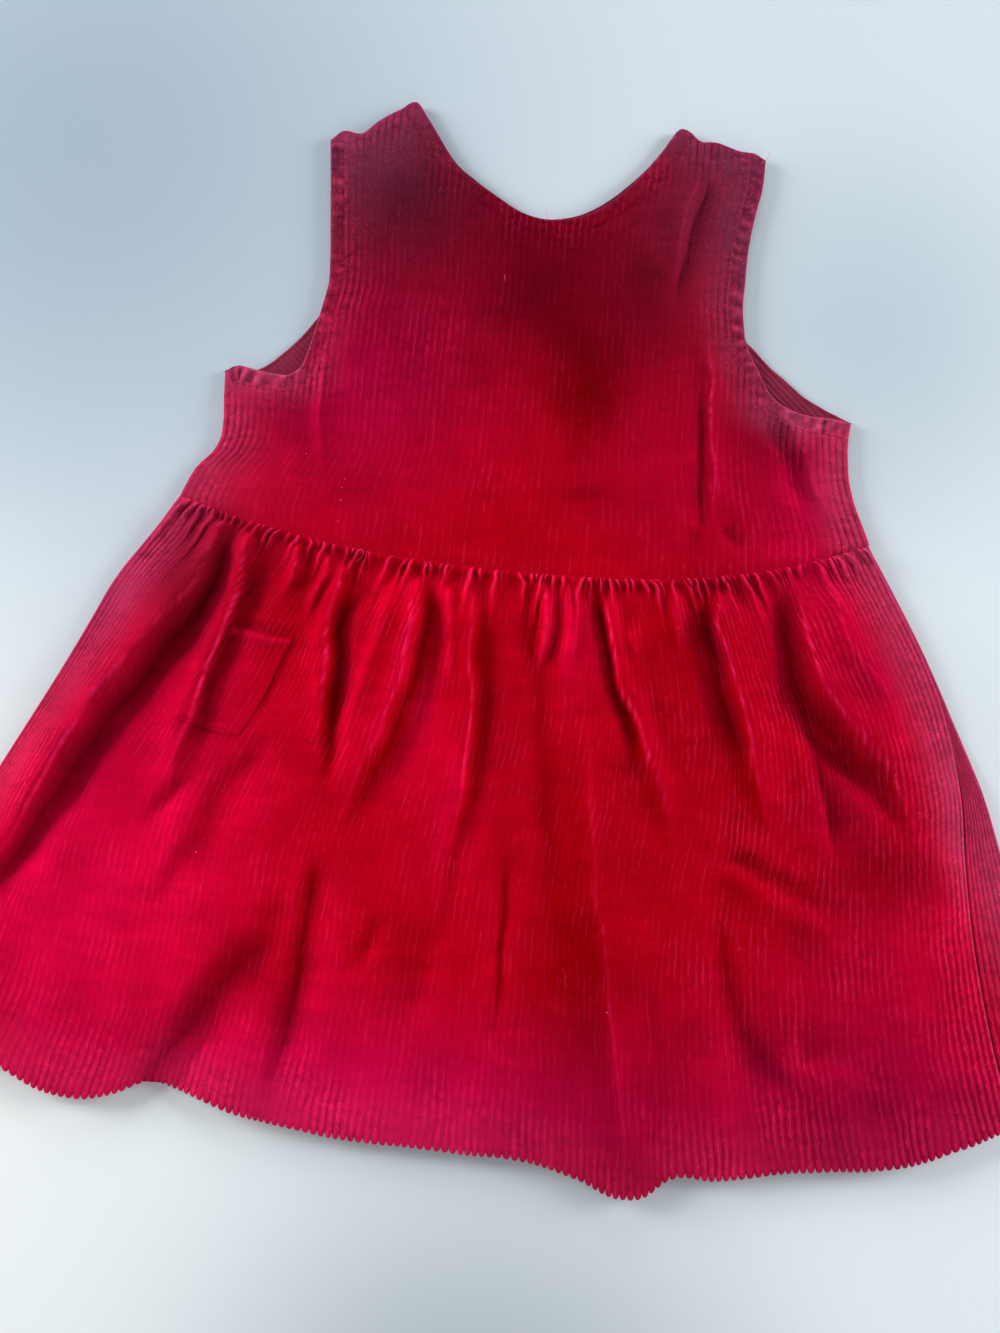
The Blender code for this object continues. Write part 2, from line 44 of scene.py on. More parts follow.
cloth = {
    "pitch": 3.175,  # eight cords to the inch
    "pile": 0.55,  # height of a cord
    "ground": 1.2,  # the cloth under its cords
    "under": 1.5,  # the layer that lies on the table
    "seam": 0.05,  # from a seam to each of its two edges
    "gap": 0.3,
    "across": [0.0, 0.13, 0.3, 0.5, 0.7, 0.87],  # where a cord's points lie from valley to valley
    "round": [0.0, 0.62, 0.93, 1.0, 0.93, 0.62],  # how high they stand
    "edge": 1.6,  # over this much a turned edge rounds down
    "seamRound": (0.45, 0.8),  # over how much the edge at the waist seam rounds down, and to what share
    "middle": (-11.0, -15.0),  # the point of the cut that lies at the origin
}
perCord = len(cloth["across"])  # columns of points to a cord
outlineStep = 0.25  # between the points of a spaced outline


def table(columns, *rows):
    return {name: np.array(values, float) for name, values in zip(columns.split(), zip(*rows))}


# the cut of the dress, as it lies
waist = {"left": -159.0, "right": 160.0, "lowX": 20.0, "rise": 25.5, "power": 2.45}

frontSide = {
    "hemLeft": -274.0,
    "hemRight": 226.0,
    "right": table("y x", (25, 158.6), (7, 168.4), (-21, 183), (-40, 191.5), (-60, 197.5), (-88, 203),
                   (-110, 204.5), (-136, 207), (-167, 212), (-190, 217), (-222, 226)),
    "hem": table("x y", (-274, -212), (-240, -220), (-206, -229), (-187, -237), (-168, -239.5),
                 (-153, -236), (-141, -231), (-128, -233.5), (-102, -241), (-60, -247), (-6, -249.5),
                 (23, -251), (43, -256), (61, -262), (71, -261), (81, -253.5), (100, -252),
                 (134, -246.5), (182, -240), (204, -232), (226, -222)),
}
backSide = {
    "hemLeft": -274.0,
    "hemRight": 252.0,
    "right": table("y x", (25, 160), (7, 170), (-21, 185), (-47, 197), (-86, 213), (-115, 222),
                   (-165, 238), (-211, 252)),
    "hem": table("x y", (-274, -212), (-206, -226), (-160, -233), (-120, -233), (-60, -243), (0, -246),
                 (90, -248), (150, -241), (200, -231), (226, -221.5), (252, -211)),
}
leftSide = table("y x", (25, -159), (7, -169), (-15, -183), (-38, -193), (-67, -206), (-107, -225),
                 (-160, -250), (-212, -274))

bodiceCut = {
    "chest": 122.0,
    "neckFrom": -66.0,  # the neck lies between the shoulders' inner ends
    "neckTo": 62.0,
    "left": table("y x", (25, -159), (41, -152), (48, -146), (54, -143.5), (63, -143), (74, -144),
                  (88, -145)),
    "right": table("y x", (25, 160), (33, 157), (43, 153), (54, 150), (64, 149), (77, 149), (84, 150)),
    "strapLeft": table("y x", (122, -102.5), (135, -100.5), (147, -101), (169, -103), (190, -105),
                       (209, -107)),
    "strapRight": table("y x", (122, 98.5), (137, 97), (149, 97.5), (167, 98.5), (184, 101), (199, 104),
                        (214, 105)),
    "neck": table("x y", (-107, 209), (-103, 213), (-90, 214), (-86, 218), (-75, 227), (-66, 232), (-61, 225),
                  (-53, 213), (-45, 201), (-36, 193.5), (-23, 185), (-12, 178.5), (-1, 175.5), (10, 176),
                  (22, 180), (33, 188), (42, 198), (50, 208), (57, 219), (62, 227), (68, 226), (72, 222),
                  (80, 221), (91, 217.5), (101, 216.5), (105, 214)),
}
frontArmholes = {
    "left": table("x y", (-145, 87), (-140, 90), (-131, 89), (-121, 87.5), (-113, 88.5), (-108.5, 94),
                  (-105, 109), (-102.5, 122)),
    "right": table("x y", (98.5, 122), (101, 115), (106, 105), (110, 97), (115, 91.5), (121, 88),
                   (130, 85.5), (141, 85), (150, 83.5)),
}
backArmholes = {
    "left": table("x y", (-145, 87), (-137, 88), (-128, 91), (-119, 99), (-110, 109.5), (-102.5, 121)),
    "right": table("x y", (98.5, 122), (104, 117), (110, 110.5), (119, 103), (128, 95.5), (137, 90.5),
                   (150, 84.5)),
}

# A fold: how high it stands over the cloth beside it, how wide it is to its left and right, then
# points down its crest. A trough has a height below 0.
skirtFolds = [
    (5.5, 5, 3, (-136, 15), (-138, 2), (-141, -12)),
    (8.8, 17, 5, (-138, 4), (-142, -13), (-148, -25), (-160, -40), (-182, -72), (-201, -114),
     (-220, -150), (-238, -185)),
    (-6.0, 4.5, 9, (-132, 10), (-138, -18), (-158, -50), (-182, -89), (-205, -132), (-224, -168),
     (-242, -205)),
    (6.0, 9, 3.0, (-122, 13), (-124, -1), (-125, -21), (-133, -51), (-140, -75), (-144, -97), (-148, -120)),
    (-4.5, 3.2, 8, (-121, -3), (-123, -24), (-132, -56), (-139, -80), (-141, -97)),
    (-2.4, 6, 13, (-101, -88), (-111, -97), (-121, -109), (-131, -133), (-141, -152), (-150, -168)),
    (-2.0, 4, 5, (-140, -103), (-146, -114), (-153, -125)),
    (3.4, 3, 2.2, (-101, 7), (-100, -5), (-105, -22)),
    (3.2, 3, 2.2, (-88, 4), (-86, -8), (-91, -19), (-93, -33)),
    (5.5, 8, 2.6, (-79, 1), (-79, -13), (-82, -27), (-82, -47), (-82, -67), (-82, -88)),
    (-3.9, 3.4, 4.5, (-75, -11), (-77, -28), (-77, -46), (-76, -66), (-76, -91), (-76, -108)),
    (6.2, 22, 4.2, (-49, -4), (-47, -35), (-52, -65), (-62, -93), (-71, -128)),
    (2.2, 3.5, 3.5, (-54, -11), (-60, -36), (-65, -59), (-70, -79)),
    (-3.4, 4.6, 12, (-40, -9), (-39, -32), (-44, -59), (-55, -91), (-64, -121)),
    (2.4, 4, 3, (-45, -5), (-45, -19), (-46, -35)),
    (-3.4, 3.6, 11, (-79, -132), (-80, -151), (-81, -177), (-84, -200), (-86, -217), (-90, -245)),
    (-1.8, 8, 8, (-88, -150), (-96, -175), (-105, -201)),
    (-4.0, 7, 15, (-99, -166), (-109, -186), (-122, -207), (-139, -236), (-150, -262)),
    (1.4, 10, 10, (-120, -176), (-128, -193), (-138, -218)),
    (-1.8, 5, 5, (-47, -158), (-54, -170), (-58, -184)),
    (3.0, 3.0, 2.6, (-32, -6), (-30, -25), (-28, -43), (-24, -61)),
    (4.0, 13, 3.0, (-21, -7), (-19, -33), (-17, -64), (-18, -100), (-20, -131)),
    (-2.8, 3.2, 8, (-17, -14), (-14, -55), (-15, -93), (-18, -134), (-20, -175)),
    (-1.7, 10, 6, (-27, -156), (-30, -182), (-35, -211)),
    (-3.4, 7, 10, (2, -13), (10, -35), (14, -71), (21, -114), (28, -156), (38, -197)),
    (4.0, 3.0, 2.4, (13, -3), (15, -21), (13, -34), (11, -47)),
    (2.6, 2.6, 2.6, (22, -2), (24, -23), (25, -52)),
    (-2.0, 2.6, 3.0, (3, -124), (4, -154), (4, -183), (3, -210)),
    (3.2, 6, 10, (34, -56), (41, -121), (50, -175), (60, -231), (64, -258)),
    (5.0, 2.8, 6, (41, -6), (42, -20), (48, -44), (58, -68), (70, -97), (76, -124)),
    (-5.6, 4.2, 2.8, (37, -3), (41, -28), (48, -49), (57, -71), (67, -95)),
    (2.4, 2.4, 2.6, (51, -22), (55, -37)),
    (3.0, 3.0, 3.0, (70, -2), (72, -12), (73, -22), (78, -36)),
    (6.6, 3.0, 12, (92, -1), (90, -16), (94, -30), (103, -57), (111, -87), (118, -116)),
    (-4.2, 6, 3.2, (85, -8), (90, -34), (99, -63), (110, -94)),
    (-6.8, 7, 8, (119, 6), (123, -22), (128, -50), (147, -70), (168, -90), (185, -116)),
    (-3.0, 3.5, 8, (131, -58), (138, -79), (143, -101), (148, -123)),
    (7.0, 6, 17, (125, 9), (130, -20), (140, -46), (159, -68), (175, -90), (185, -118)),
    (3.2, 8, 8, (139, 8), (148, -21), (164, -43), (174, -66)),
    (-2.6, 4.5, 7, (90, -118), (107, -122), (124, -132), (140, -139), (158, -148)),
    (2.0, 4, 3, (88, -115), (107, -116), (125, -124), (146, -128)),
    (-2.6, 12, 4.5, (95, -140), (100, -168), (109, -192), (119, -207), (134, -216), (154, -217)),
    (-1.6, 14, 9, (62, -175), (68, -205), (73, -251)),
    (-2.0, 6, 12, (128, -201), (150, -201), (172, -201)),
]
bodiceFolds = [
    (2.2, 3, 9, (82, 124), (83, 99), (85, 74), (87, 50), (86, 38), (84, 26)),
    (-1.4, 2.6, 2.4, (81, 96), (81, 69), (81, 40), (79, 21)),
    (1.2, 3, 3, (-96, 99), (-98, 78), (-96, 56), (-92, 37)),
    (-1.6, 3, 6, (79, 201), (74, 186), (70, 166), (67, 145), (65, 126)),
    (1.6, 7, 3, (73, 205), (68, 184), (65, 163), (63, 137)),
    (-2.0, 5, 5, (107, 91), (120, 65), (127, 49), (135, 35)),
    (1.4, 4, 8, (116, 89), (126, 68), (134, 49), (140, 36)),
    (0.8, 3, 3, (43, 121), (47, 89)),
    (-0.8, 3, 3, (15, 36), (28, 37), (40, 38)),
    (-1.4, 3, 4, (93, 29), (97, 24), (103, 19)),
    (-1.2, 3, 3, (78, 27), (78, 14)),
    (-1.1, 12, 10, (-19, 146), (1, 133), (19, 109), (28, 75)),
    (-1.1, 10, 12, (56, 156), (48, 136), (40, 116)),
    (1.0, 10, 14, (-30, 156), (-32, 130), (-38, 105), (-42, 70)),
]


def smoothLine(points, pieces=6):
    # a smooth line through a few points
    points = np.array(points, float)
    ends = [2 * points[0] - points[1], *points, 2 * points[-1] - points[-2]]
    line = [points[0]]
    for a, b, c, d in zip(ends, ends[1:], ends[2:], ends[3:]):
        slope, bend, twist = c - a, 2 * a - 5 * b + 4 * c - d, 3 * b - a - 3 * c + d
        for t in np.linspace(0, 1, pieces + 1)[1:]:
            line.append((2 * b + slope * t + bend * t ** 2 + twist * t ** 3) / 2)
    return np.array(line)


def through(x, points, across, along):
    # a smooth curve through a table's points
    order = np.argsort(points[across])
    xs, ys = points[across][order], points[along][order]
    slopes = np.gradient(ys, xs)
    x = np.clip(x, xs[0], xs[-1])
    k = np.clip(np.searchsorted(xs, x) - 1, 0, len(xs) - 2)
    step = xs[k + 1] - xs[k]
    t = (x - xs[k]) / step
    start = (1 + 2 * t) * (1 - t) ** 2 * ys[k] + t * (1 - t) ** 2 * slopes[k] * step
    end = t * t * (3 - 2 * t) * ys[k + 1] - t * t * (1 - t) * slopes[k + 1] * step
    return start + end


def ease(t):
    # 0 up to t 0, 1 from t 1, soft in between
    t = np.clip(t, 0.0, 1.0)
    return t * t * (3 - 2 * t)


def dip(distance, width):
    # a soft bump of height 1 around distance 0
    return np.exp(-((distance / width) ** 2))


def waistLine(x):
    # height of the curved waist seam
    span = np.where(x < waist["lowX"], waist["lowX"] - waist["left"], waist["right"] - waist["lowX"])
    return waist["rise"] * (np.abs(x - waist["lowX"]) / span) ** waist["power"]


def alongFolds(x, y, folds):
    # for every fold: the points near it, how far aside they lie in its widths and in millimetres,
    # and how much it has swelled there. The lines waver a little.
    x, y = x + ripple(x, y, 31, 0.75, 14, 40), y + ripple(x, y, 32, 0.75, 14, 40)
    for _, left, right, *points in folds:
        line = smoothLine(points)
        reach = 2.8 * max(left, right)
        low, top = line.min(axis=0) - reach, line.max(axis=0) + reach
        near = (x > low[0]) & (x < top[0]) & (y > low[1]) & (y < top[1])
        px, py = x[near], y[near]
        nearby, aside, along = np.full(px.shape, np.inf), np.zeros(px.shape), np.zeros(px.shape)
        for number, ((ax, ay), (bx, by)) in enumerate(zip(line, line[1:])):
            stepX, stepY = bx - ax, by - ay
            t = np.clip(((px - ax) * stepX + (py - ay) * stepY) / (stepX ** 2 + stepY ** 2), 0, 1)
            away = np.hypot(px - ax - t * stepX, py - ay - t * stepY)
            side = np.sign((py - ay) * stepX - (px - ax) * stepY)
            closer = away < nearby
            nearby = np.where(closer, away, nearby)
            aside, along = np.where(closer, side * away, aside), np.where(closer, number + t, along)
        along /= len(line) - 1
        swell = ease(along / 0.18) * ease((1 - along) / 0.38)  # it starts sooner than it fades
        yield near, np.abs(aside) / np.where(aside < 0, left, right), aside, swell


def foldRise(x, y, folds):
    # ridges stand crisper than troughs lie
    rise = np.zeros_like(x)
    for (high, *_), (near, across, _, swell) in zip(folds, alongFolds(x, y, folds)):
        rise[near] += high * swell * np.exp(-(across ** (1.5 if high > 0 else 2.0)))
    return rise


narrowFold = 4.7  # a trough with a side narrower than this gets a painted dark line at its bottom


def foldCrest(x, y, folds, full=4.0):
    # painted highlight: the thin bright line on top of a ridge, whole from a height of full on, and painted
    # shade: the dark line in a narrow trough
    crest = np.zeros_like(x)
    for (high, left, right, *_), (near, _, aside, swell) in zip(folds, alongFolds(x, y, folds)):
        if high > 0:
            crest[near] += ease((high / full - 0.45) / 0.55) * swell * dip(aside, 0.7)
        elif high < -0.7 * full and min(left, right) < narrowFold:
            crest[near] -= 0.4 * swell * dip(aside, 1.1)
    return crest * np.clip(0.75 + ripple(x, y, 33, 0.4, 4, 12), 0.25, 1.1)


def ripple(x, y, seed, high, shortest, longest):
    # uneven low waves of handled cloth
    draw = np.random.default_rng(seed)
    rise = np.zeros_like(x)
    for turn, length, start in zip(draw.uniform(0, math.pi, 9), draw.uniform(shortest, longest, 9),
                                   draw.uniform(0, 6.3, 9)):
        rise += np.sin(2 * math.pi * (x * math.cos(turn) + y * math.sin(turn)) / length + start)
    return high * rise / 3


def roundOff(distance, radius, least=0.3):
    # 1 inside a panel, falling in a quarter round to its edge
    t = np.clip(distance / radius, 0.0, 1.0)
    return least + (1 - least) * np.sqrt(np.clip(1 - (1 - t) ** 2, 0.0, 1.0))


def normalsOf(x, y, z):
    # unit normals of a grid of points, turned to its upper side
    along = [np.gradient(a, axis=0) for a in (x, y, z)]
    across = [np.gradient(a, axis=1) for a in (x, y, z)]
    normal = np.stack([across[1] * along[2] - across[2] * along[1],
                       across[2] * along[0] - across[0] * along[2],
                       across[0] * along[1] - across[1] * along[0]])
    length = np.maximum(np.linalg.norm(normal, axis=0), 1e-12)
    flip = np.sign(np.median(normal[2]))
    return flip * normal / length


# Painted light and shade by slope: bright where the cloth slopes outwards, dark where it slopes towards the
# middle. Patches are painted light and shade, painted sheen (haze) and painted pink sheen (rose): x y of the
# middle and half sizes.
paintedLight = {
    "lean": 0.75,
    "up": 0.15,  # how far a slope towards the neck counts
    "wide": 110.0,  # outside of this a slope to the side counts in full
    "hollow": 0.08,  # painted light for each millimetre over the points hollowReach aside, painted shade for each millimetre under them
    "hollowReach": 6.0,
    "fine": 0.10,
    "fineReach": 1.8,
    "most": 0.17,  # the brightest and the darkest painted light of a slope
    "least": 1.1,
    "crest": 0.56,  # painted highlight on a crest: its light, rose and haze
    "pink": 0.85,
    "crestHaze": 0.13,
    "rim": 0.6,  # painted sheen (haze) on a turned edge
    "rimReach": 2.0,
    "leftHaze": 0.25,  # painted sheen (haze) beside the dress's outside
    "rightHaze": 0.55,
    "hazeReach": 26.0,
    "scale": 4.0,  # light is kept divided by this, so that it stays below 1
}
paintedLightPatches = table(
    "x y wide tall turn light haze rose",
    (-150, -145, 42, 75, -20, 0.35, 0.0, 0.15),
    (-215, -190, 45, 90, -10, 0.20, 0.0, 0.3),
    (-150, -12, 13, 21, -20, -0.85, 0.10, 0.0),
    (-176, -16, 15, 38, -25, 0.05, 0.25, 0.5),
    (-188, -45, 16, 50, -28, -0.32, 0.10, 0.2),
    (-122, -128, 13, 18, 0, -0.20, 0.0, 0.0),
    (-55, -122, 18, 24, 0, -0.17, 0.0, 0.0),
    (-138, 10, 12, 10, 0, -0.25, 0.0, 0.0),
    (-92, -187, 13, 22, 0, -0.44, 0.0, 0.0),
    (-125, -209, 9, 36, -23, -0.32, 0.0, 0.0),
    (-105, -20, 20, 22, 0, -0.20, 0.0, 0.0),
    (-75, -180, 90, 60, 0, 0.22, 0.0, 0.0),
    (-45, -90, 25, 60, 0, 0.22, 0.0, -0.1),
    (-18, -55, 9, 25, 0, -0.20, 0.0, 0.0),
    (-40, -58, 9, 22, 0, 0.28, 0.0, 0.0),
    (-20, -105, 12, 30, 0, 0.20, 0.0, 0.0),
    (24, -30, 14, 18, 0, 0.24, 0.0, 0.0),
    (64, -236, 24, 26, 0, -0.34, 0.0, 0.0),
    (0, -80, 45, 75, 0, 0.0, 0.0, -0.6),
    (28, -45, 10, 30, 0, 0.20, 0.0, 0.0),
    (92, -20, 20, 40, 20, -0.18, 0.0, 0.0),
    (156, -40, 20, 22, 20, -0.20, 0.0, 0.3),
    (150, -97, 20, 20, 0, -0.20, 0.0, 0.3),
    (36, -178, 18, 56, 0, -0.34, 0.0, 0.0),
    (118, -205, 9, 15, 0, -0.40, 0.0, 0.2),
    (152, -224, 28, 14, 0, -0.32, 0.0, 0.0),
    (172, -123, 24, 14, 0, -0.40, 0.0, 0.0),
    (107, -136, 14, 7, -12, -0.30, 0.0, 0.0),
    (131, -148, 14, 8, -25, -0.30, 0.0, 0.0),
    (205, -122, 14, 24, 0, 0.20, 0.0, 0.0),
    (165, -165, 40, 40, 0, 0.05, 0.0, 0.3),
    (190, -225, 70, 40, 0, -0.15, 0.0, 0.6),
    (-60, -235, 130, 30, 0, 0.20, 0.0, 0.5),
    (0, -250, 300, 50, 0, 0.0, 0.0, 0.6),
    (-190, -60, 60, 90, 0, 0.0, 0.0, 0.3),
    (10, -10, 110, 12, 0, 0.14, 0.0, 0.0),
    (-42, -166, 22, 22, 0, -0.20, 0.0, 0.0),
    (-85, 90, 60, 60, 0, -0.20, 0.0, 0.8),
    (70, 60, 60, 60, 0, -0.15, 0.0, 0.3),
    (-8, 170, 85, 60, 0, -1.12, 0.05, 0.3),
    (50, 130, 27, 38, 20, -0.45, 0.0, 0.1),
    (0, 105, 75, 30, 0, -0.16, 0.0, 0.0),
    (-112, 66, 12, 14, 0, -0.38, 0.0, 0.0),
    (24, 92, 18, 28, 0, -0.60, 0.0, -0.2),
    (0, 120, 150, 75, 0, 0.10, 0.0, 0.0),
    (2, 130, 18, 24, 30, -0.45, 0.0, 0.0),
    (28, 38, 18, 6, 0, -0.25, 0.0, 0.0),
    (112, 72, 16, 18, 30, -0.60, 0.0, 0.0),
    (96, 110, 12, 50, 0, -0.25, 0.0, 0.0),
    (-126, 86, 24, 8, 0, 0.20, 0.40, 0.2),
    (126, 84, 26, 8, 0, 0.10, 0.40, 0.2),
    (-60, 186, 20, 22, 0, -0.32, 0.0, 0.0),
    (-80, 155, 24, 30, 0, -0.30, 0.0, 0.0),
    (-80, 205, 40, 45, 0, -0.55, 0.95, 0.0),
    (-85, 214, 30, 14, 0, 0.30, 0.0, 0.0),
    (85, 200, 40, 60, 0, -0.48, 0.55, 0.4),
    (140, 45, 32, 60, 0, 0.0, 0.0, 0.6),
    (110, 150, 22, 60, 0, 0.1, 0.10, 0.6),
    (190, -30, 26, 70, 20, 0.0, 0.0, 0.5),
    (225, -120, 30, 60, 10, 0.15, 0.1, 0.5),
    (-150, 60, 30, 60, 0, 0.0, 0.16, 0.4),
)


def hollowOf(x, z, aside):
    # how far a point stands over the points beside it
    hollow = np.empty_like(z)
    for row in range(z.shape[0]):
        order = np.argsort(x[row])
        xs, zs = x[row][order], z[row][order]
        hollow[row] = z[row] - (np.interp(x[row] - aside, xs, zs) + np.interp(x[row] + aside, xs, zs)) / 2
    return hollow


def paintedLightAndPileOf(x, y, z, normal, crest, upright, soft=1.0, fromEdge=99.0, fromOutside=99.0):
    # painted light and shade, painted sheen (haze), painted pink sheen (rose) and how upright the cords stand
    # at every point of a panel, x and y in the cut
    outward = np.clip(x / paintedLight["wide"], -1, 1)
    light = paintedLight["lean"] * (normal[0] * outward + normal[1] * paintedLight["up"])
    # painted light where the cloth stands up, painted shade in its hollows
    light = light + paintedLight["hollow"] * soft * np.clip(hollowOf(x, z, paintedLight["hollowReach"]), -4, 4)
    light = light + paintedLight["fine"] * soft * np.clip(hollowOf(x, z, paintedLight["fineReach"]), -2, 2)
    # the brightest slopes stay close to each other
    limit = np.where(light > 0, paintedLight["most"], paintedLight["least"])
    light = limit * np.tanh(light / limit)
    # a crest above 0 takes a painted highlight, below 0 a painted dark line
    litOrRubbed = np.clip(crest, 0, 1)
    light = light * (1 - litOrRubbed) + paintedLight["crest"] * litOrRubbed + np.minimum(crest, 0)
    # painted sheen (haze) beside the outer sides, on turned edges and on crests
    outside = np.where(x > 0, paintedLight["rightHaze"], paintedLight["leftHaze"]) * (1 - ease(fromOutside / paintedLight["hazeReach"]))
    haze = paintedLight["rim"] * (1 - ease(fromEdge / paintedLight["rimReach"])) + outside + paintedLight["crestHaze"] * litOrRubbed ** 2
    rose = paintedLight["pink"] * litOrRubbed ** 2
    # patches of painted light and shade, painted sheen (haze) and painted pink sheen (rose)
    for px, py, wide, tall, turn, bright, pale, pink in zip(*paintedLightPatches.values()):
        c, s = math.cos(math.radians(turn)), math.sin(math.radians(turn))
        u, v = (x - px) * c + (y - py) * s, (y - py) * c - (x - px) * s
        near = np.exp(-((u / wide) ** 2) - (v / tall) ** 2)
        light, haze, rose = light + bright * near, haze + pale * near, rose + pink * near
    shares = [np.exp(light) / paintedLight["scale"], haze, rose]
    return np.stack([np.clip(share, 0, 1) for share in shares] + [upright + 0 * x])


def crushed(x, y, fromSide, fromHem, seed):
    # how upright the cords stand: flattened by wear in the middle, fuller at the sides and the hem
    upright = 0.24 + 0.6 * ease((28 - fromSide) / 28) + 0.35 * ease((45 - fromHem) / 45)
    upright = upright + 0.25 * ease((x - 50) / 90)
    return np.clip(upright * (1 + 0.4 * ripple(x, y, seed, 1.0, 20, 60)), 0.15, 1.1)


def cordPlaces(count):
    # fraction of a cord at every column, and how high the pile stands there
    passed = np.append((np.arange(count)[:, None] + np.array(cloth["across"])).ravel(), count)
    height = np.append(np.tile(cloth["round"], count), 0.0)
    return passed, height


def lowest(height, reach):
    # the lowest point of each row within reach columns, so that a coarse inner side stays inside
    wide = np.pad(height, ((0, 0), (reach, reach)), mode="edge")
    return np.min([wide[:, first:first + height.shape[1]] for first in range(2 * reach + 1)], axis=0)


def addPiece(name, mesh, material):
    # a finished bmesh becomes an object of the scene
    data = bpy.data.meshes.new(name)
    mesh.to_mesh(data)
    mesh.free()
    data.polygons.foreach_set("use_smooth", np.ones(len(data.polygons), bool))
    data.materials.append(material)
    piece = bpy.data.objects.new(name, data)
    bpy.context.scene.collection.objects.link(piece)
    print(name, "has", len(data.polygons), "faces")
    return piece


def layCloth(name, material, inner, outer, weave, keep, gone=None, paintedLightAndPile=None):
    # One closed wall between two grids of points. keep is the step between the columns that the
    # plain inner side keeps, gone marks the cells that the cut leaves out.
    rows, columns = outer[0].shape
    if keep > 1:
        inner = np.stack([inner[0], inner[1], lowest(inner[2], keep)])
    mesh = bmesh.new()
    bmesh.ops.create_grid(mesh, x_segments=columns - 1, y_segments=rows - 1, size=0.5)

    def column(point):
        return round((point.x + 0.5) * (columns - 1))

    if gone is not None:
        cut = []
        for face in mesh.faces:
            middle = face.calc_center_median()
            if gone[int((middle.y + 0.5) * (rows - 1)), int((middle.x + 0.5) * (columns - 1))]:
                cut.append(face)
        bmesh.ops.delete(mesh, geom=cut, context="FACES")
    within = set(mesh.verts)
    raised = bmesh.ops.extrude_face_region(mesh, geom=list(mesh.faces))["geom"]
    without = [part for part in raised if isinstance(part, bmesh.types.BMVert)]
    bmesh.ops.translate(mesh, verts=without, vec=(0, 0, 1))
    spare = []
    for edge in mesh.edges if keep > 1 else []:
        a, b = edge.verts
        if a in within and b in within and column(a.co) == column(b.co) and column(a.co) % keep:
            if all(vert in within for face in edge.link_faces for vert in face.verts):
                spare.append(edge)
    bmesh.ops.dissolve_edges(mesh, edges=spare, use_verts=True, use_face_split=False)
    bmesh.ops.recalc_face_normals(mesh, faces=mesh.faces)
    piece = addPiece(name, mesh, material)
    data = piece.data

    # the flat grid takes on the shape of the cloth
    spots = np.empty(len(data.vertices) * 3, np.float32)
    data.vertices.foreach_get("co", spots)
    spots = spots.reshape(-1, 3)
    across = np.rint((spots[:, 0] + 0.5) * (columns - 1)).astype(int)
    along = np.rint((spots[:, 1] + 0.5) * (rows - 1)).astype(int)
    above = spots[:, 2] > 0.5
    grids = np.where(above, np.array(outer)[:, along, across], np.array(inner)[:, along, across])
    grids[0] -= cloth["middle"][0]
    grids[1] -= cloth["middle"][1]
    data.vertices.foreach_set("co", (grids.T * mm).astype(np.float32).ravel())

    corner = np.empty(len(data.loops), np.int32)
    data.loops.foreach_get("vertex_index", corner)
    uv = np.array(weave)[:, along, across].T[corner]
    data.uv_layers.new(name="weave").data.foreach_set("uv", uv.astype(np.float32).ravel())
    if paintedLightAndPile is not None:
        colour = np.array(paintedLightAndPile)[:, along, across]
        data.color_attributes.new("paintedLight", "FLOAT_COLOR", "POINT")
        data.color_attributes["paintedLight"].data.foreach_set("color", colour.T.astype(np.float32).ravel())
    if np.median(np.gradient(outer[1], axis=0)) < 0:  # rows that run down the cut turn the faces round
        data.flip_normals()
    data.update()
    return piece


# Colours of the cloth, its threads and its lint, and of the painted light, shade and sheen on the cloth.
coloursAndPaintedLight = {
    "red": (0.50, 0.0002, 0.002),
    "rose": (0.52, 0.0003, 0.030),  # painted reflection of the sky on the pile
    # painted pink sheen on crests and in patches
    "pink": (0.52, 0.0016, 0.054),
    # painted sheen (haze)
    "wine": (0.36, 0.050, 0.120),
    # painted highlight of the dashes along the cords
    "streak": (0.82, 0.016, 0.100),
    # painted glints of fibres in the painted sheen
    "fibreGlint": (0.90, 0.16, 0.26),
    # painted shade in the cords' valleys, and the dark lines of the inside's twill
    "valley": (0.10, 0.0, 0.004),
    "thread": (0.30, 0.002, 0.022),
    "seamThread": (0.60, 0.006, 0.040),
    "lint": (0.95, 0.17, 0.22),
    "lining": (0.17, 0.010, 0.034),
    "twill": (0.27, 0.024, 0.060),
}


def newMaterial(name, values):
    material = bpy.data.materials.new(name)
    material.use_nodes = True
    shader = material.node_tree.nodes["Principled BSDF"]
    for socket, value in values.items():
        shader.inputs[socket].default_value = value
    return material, material.node_tree, shader


def newNode(tree, kind, values, sources):
    # a node with its fixed values and what feeds its other sockets
    node = tree.nodes.new(kind)
    for socket, value in values.items():
        node.inputs[socket].default_value = value
    for socket, source in sources.items():
        tree.links.new(source, node.inputs[socket])
    return node


def mathNode(tree, operation, *values):
    node = tree.nodes.new("ShaderNodeMath")
    node.operation = operation
    for socket, value in zip(node.inputs, values):
        if isinstance(value, (int, float)):
            socket.default_value = value
        else:
            tree.links.new(value, socket)
    return node.outputs[0]


def times(tree, first, second, plus=None):
    # first times second, and plus on top where it is given
    if plus is None:
        return mathNode(tree, "MULTIPLY", first, second)
    return mathNode(tree, "MULTIPLY_ADD", first, second, plus)


def noiseNode(tree, vector, scale, detail=2.0, roughness=0.5):
    values = {"Scale": scale, "Detail": detail, "Roughness": roughness}
    return newNode(tree, "ShaderNodeTexNoise", values, {"Vector": vector}).outputs["Fac"]


def stretched(tree, vector, scale):
    return newNode(tree, "ShaderNodeMapping", {"Scale": scale}, {"Vector": vector}).outputs[0]


def rampNode(tree, value, low, high):
    node = newNode(tree, "ShaderNodeMapRange", {"From Min": low, "From Max": high}, {"Value": value})
    node.interpolation_type = "SMOOTHSTEP"
    return node.outputs["Result"]


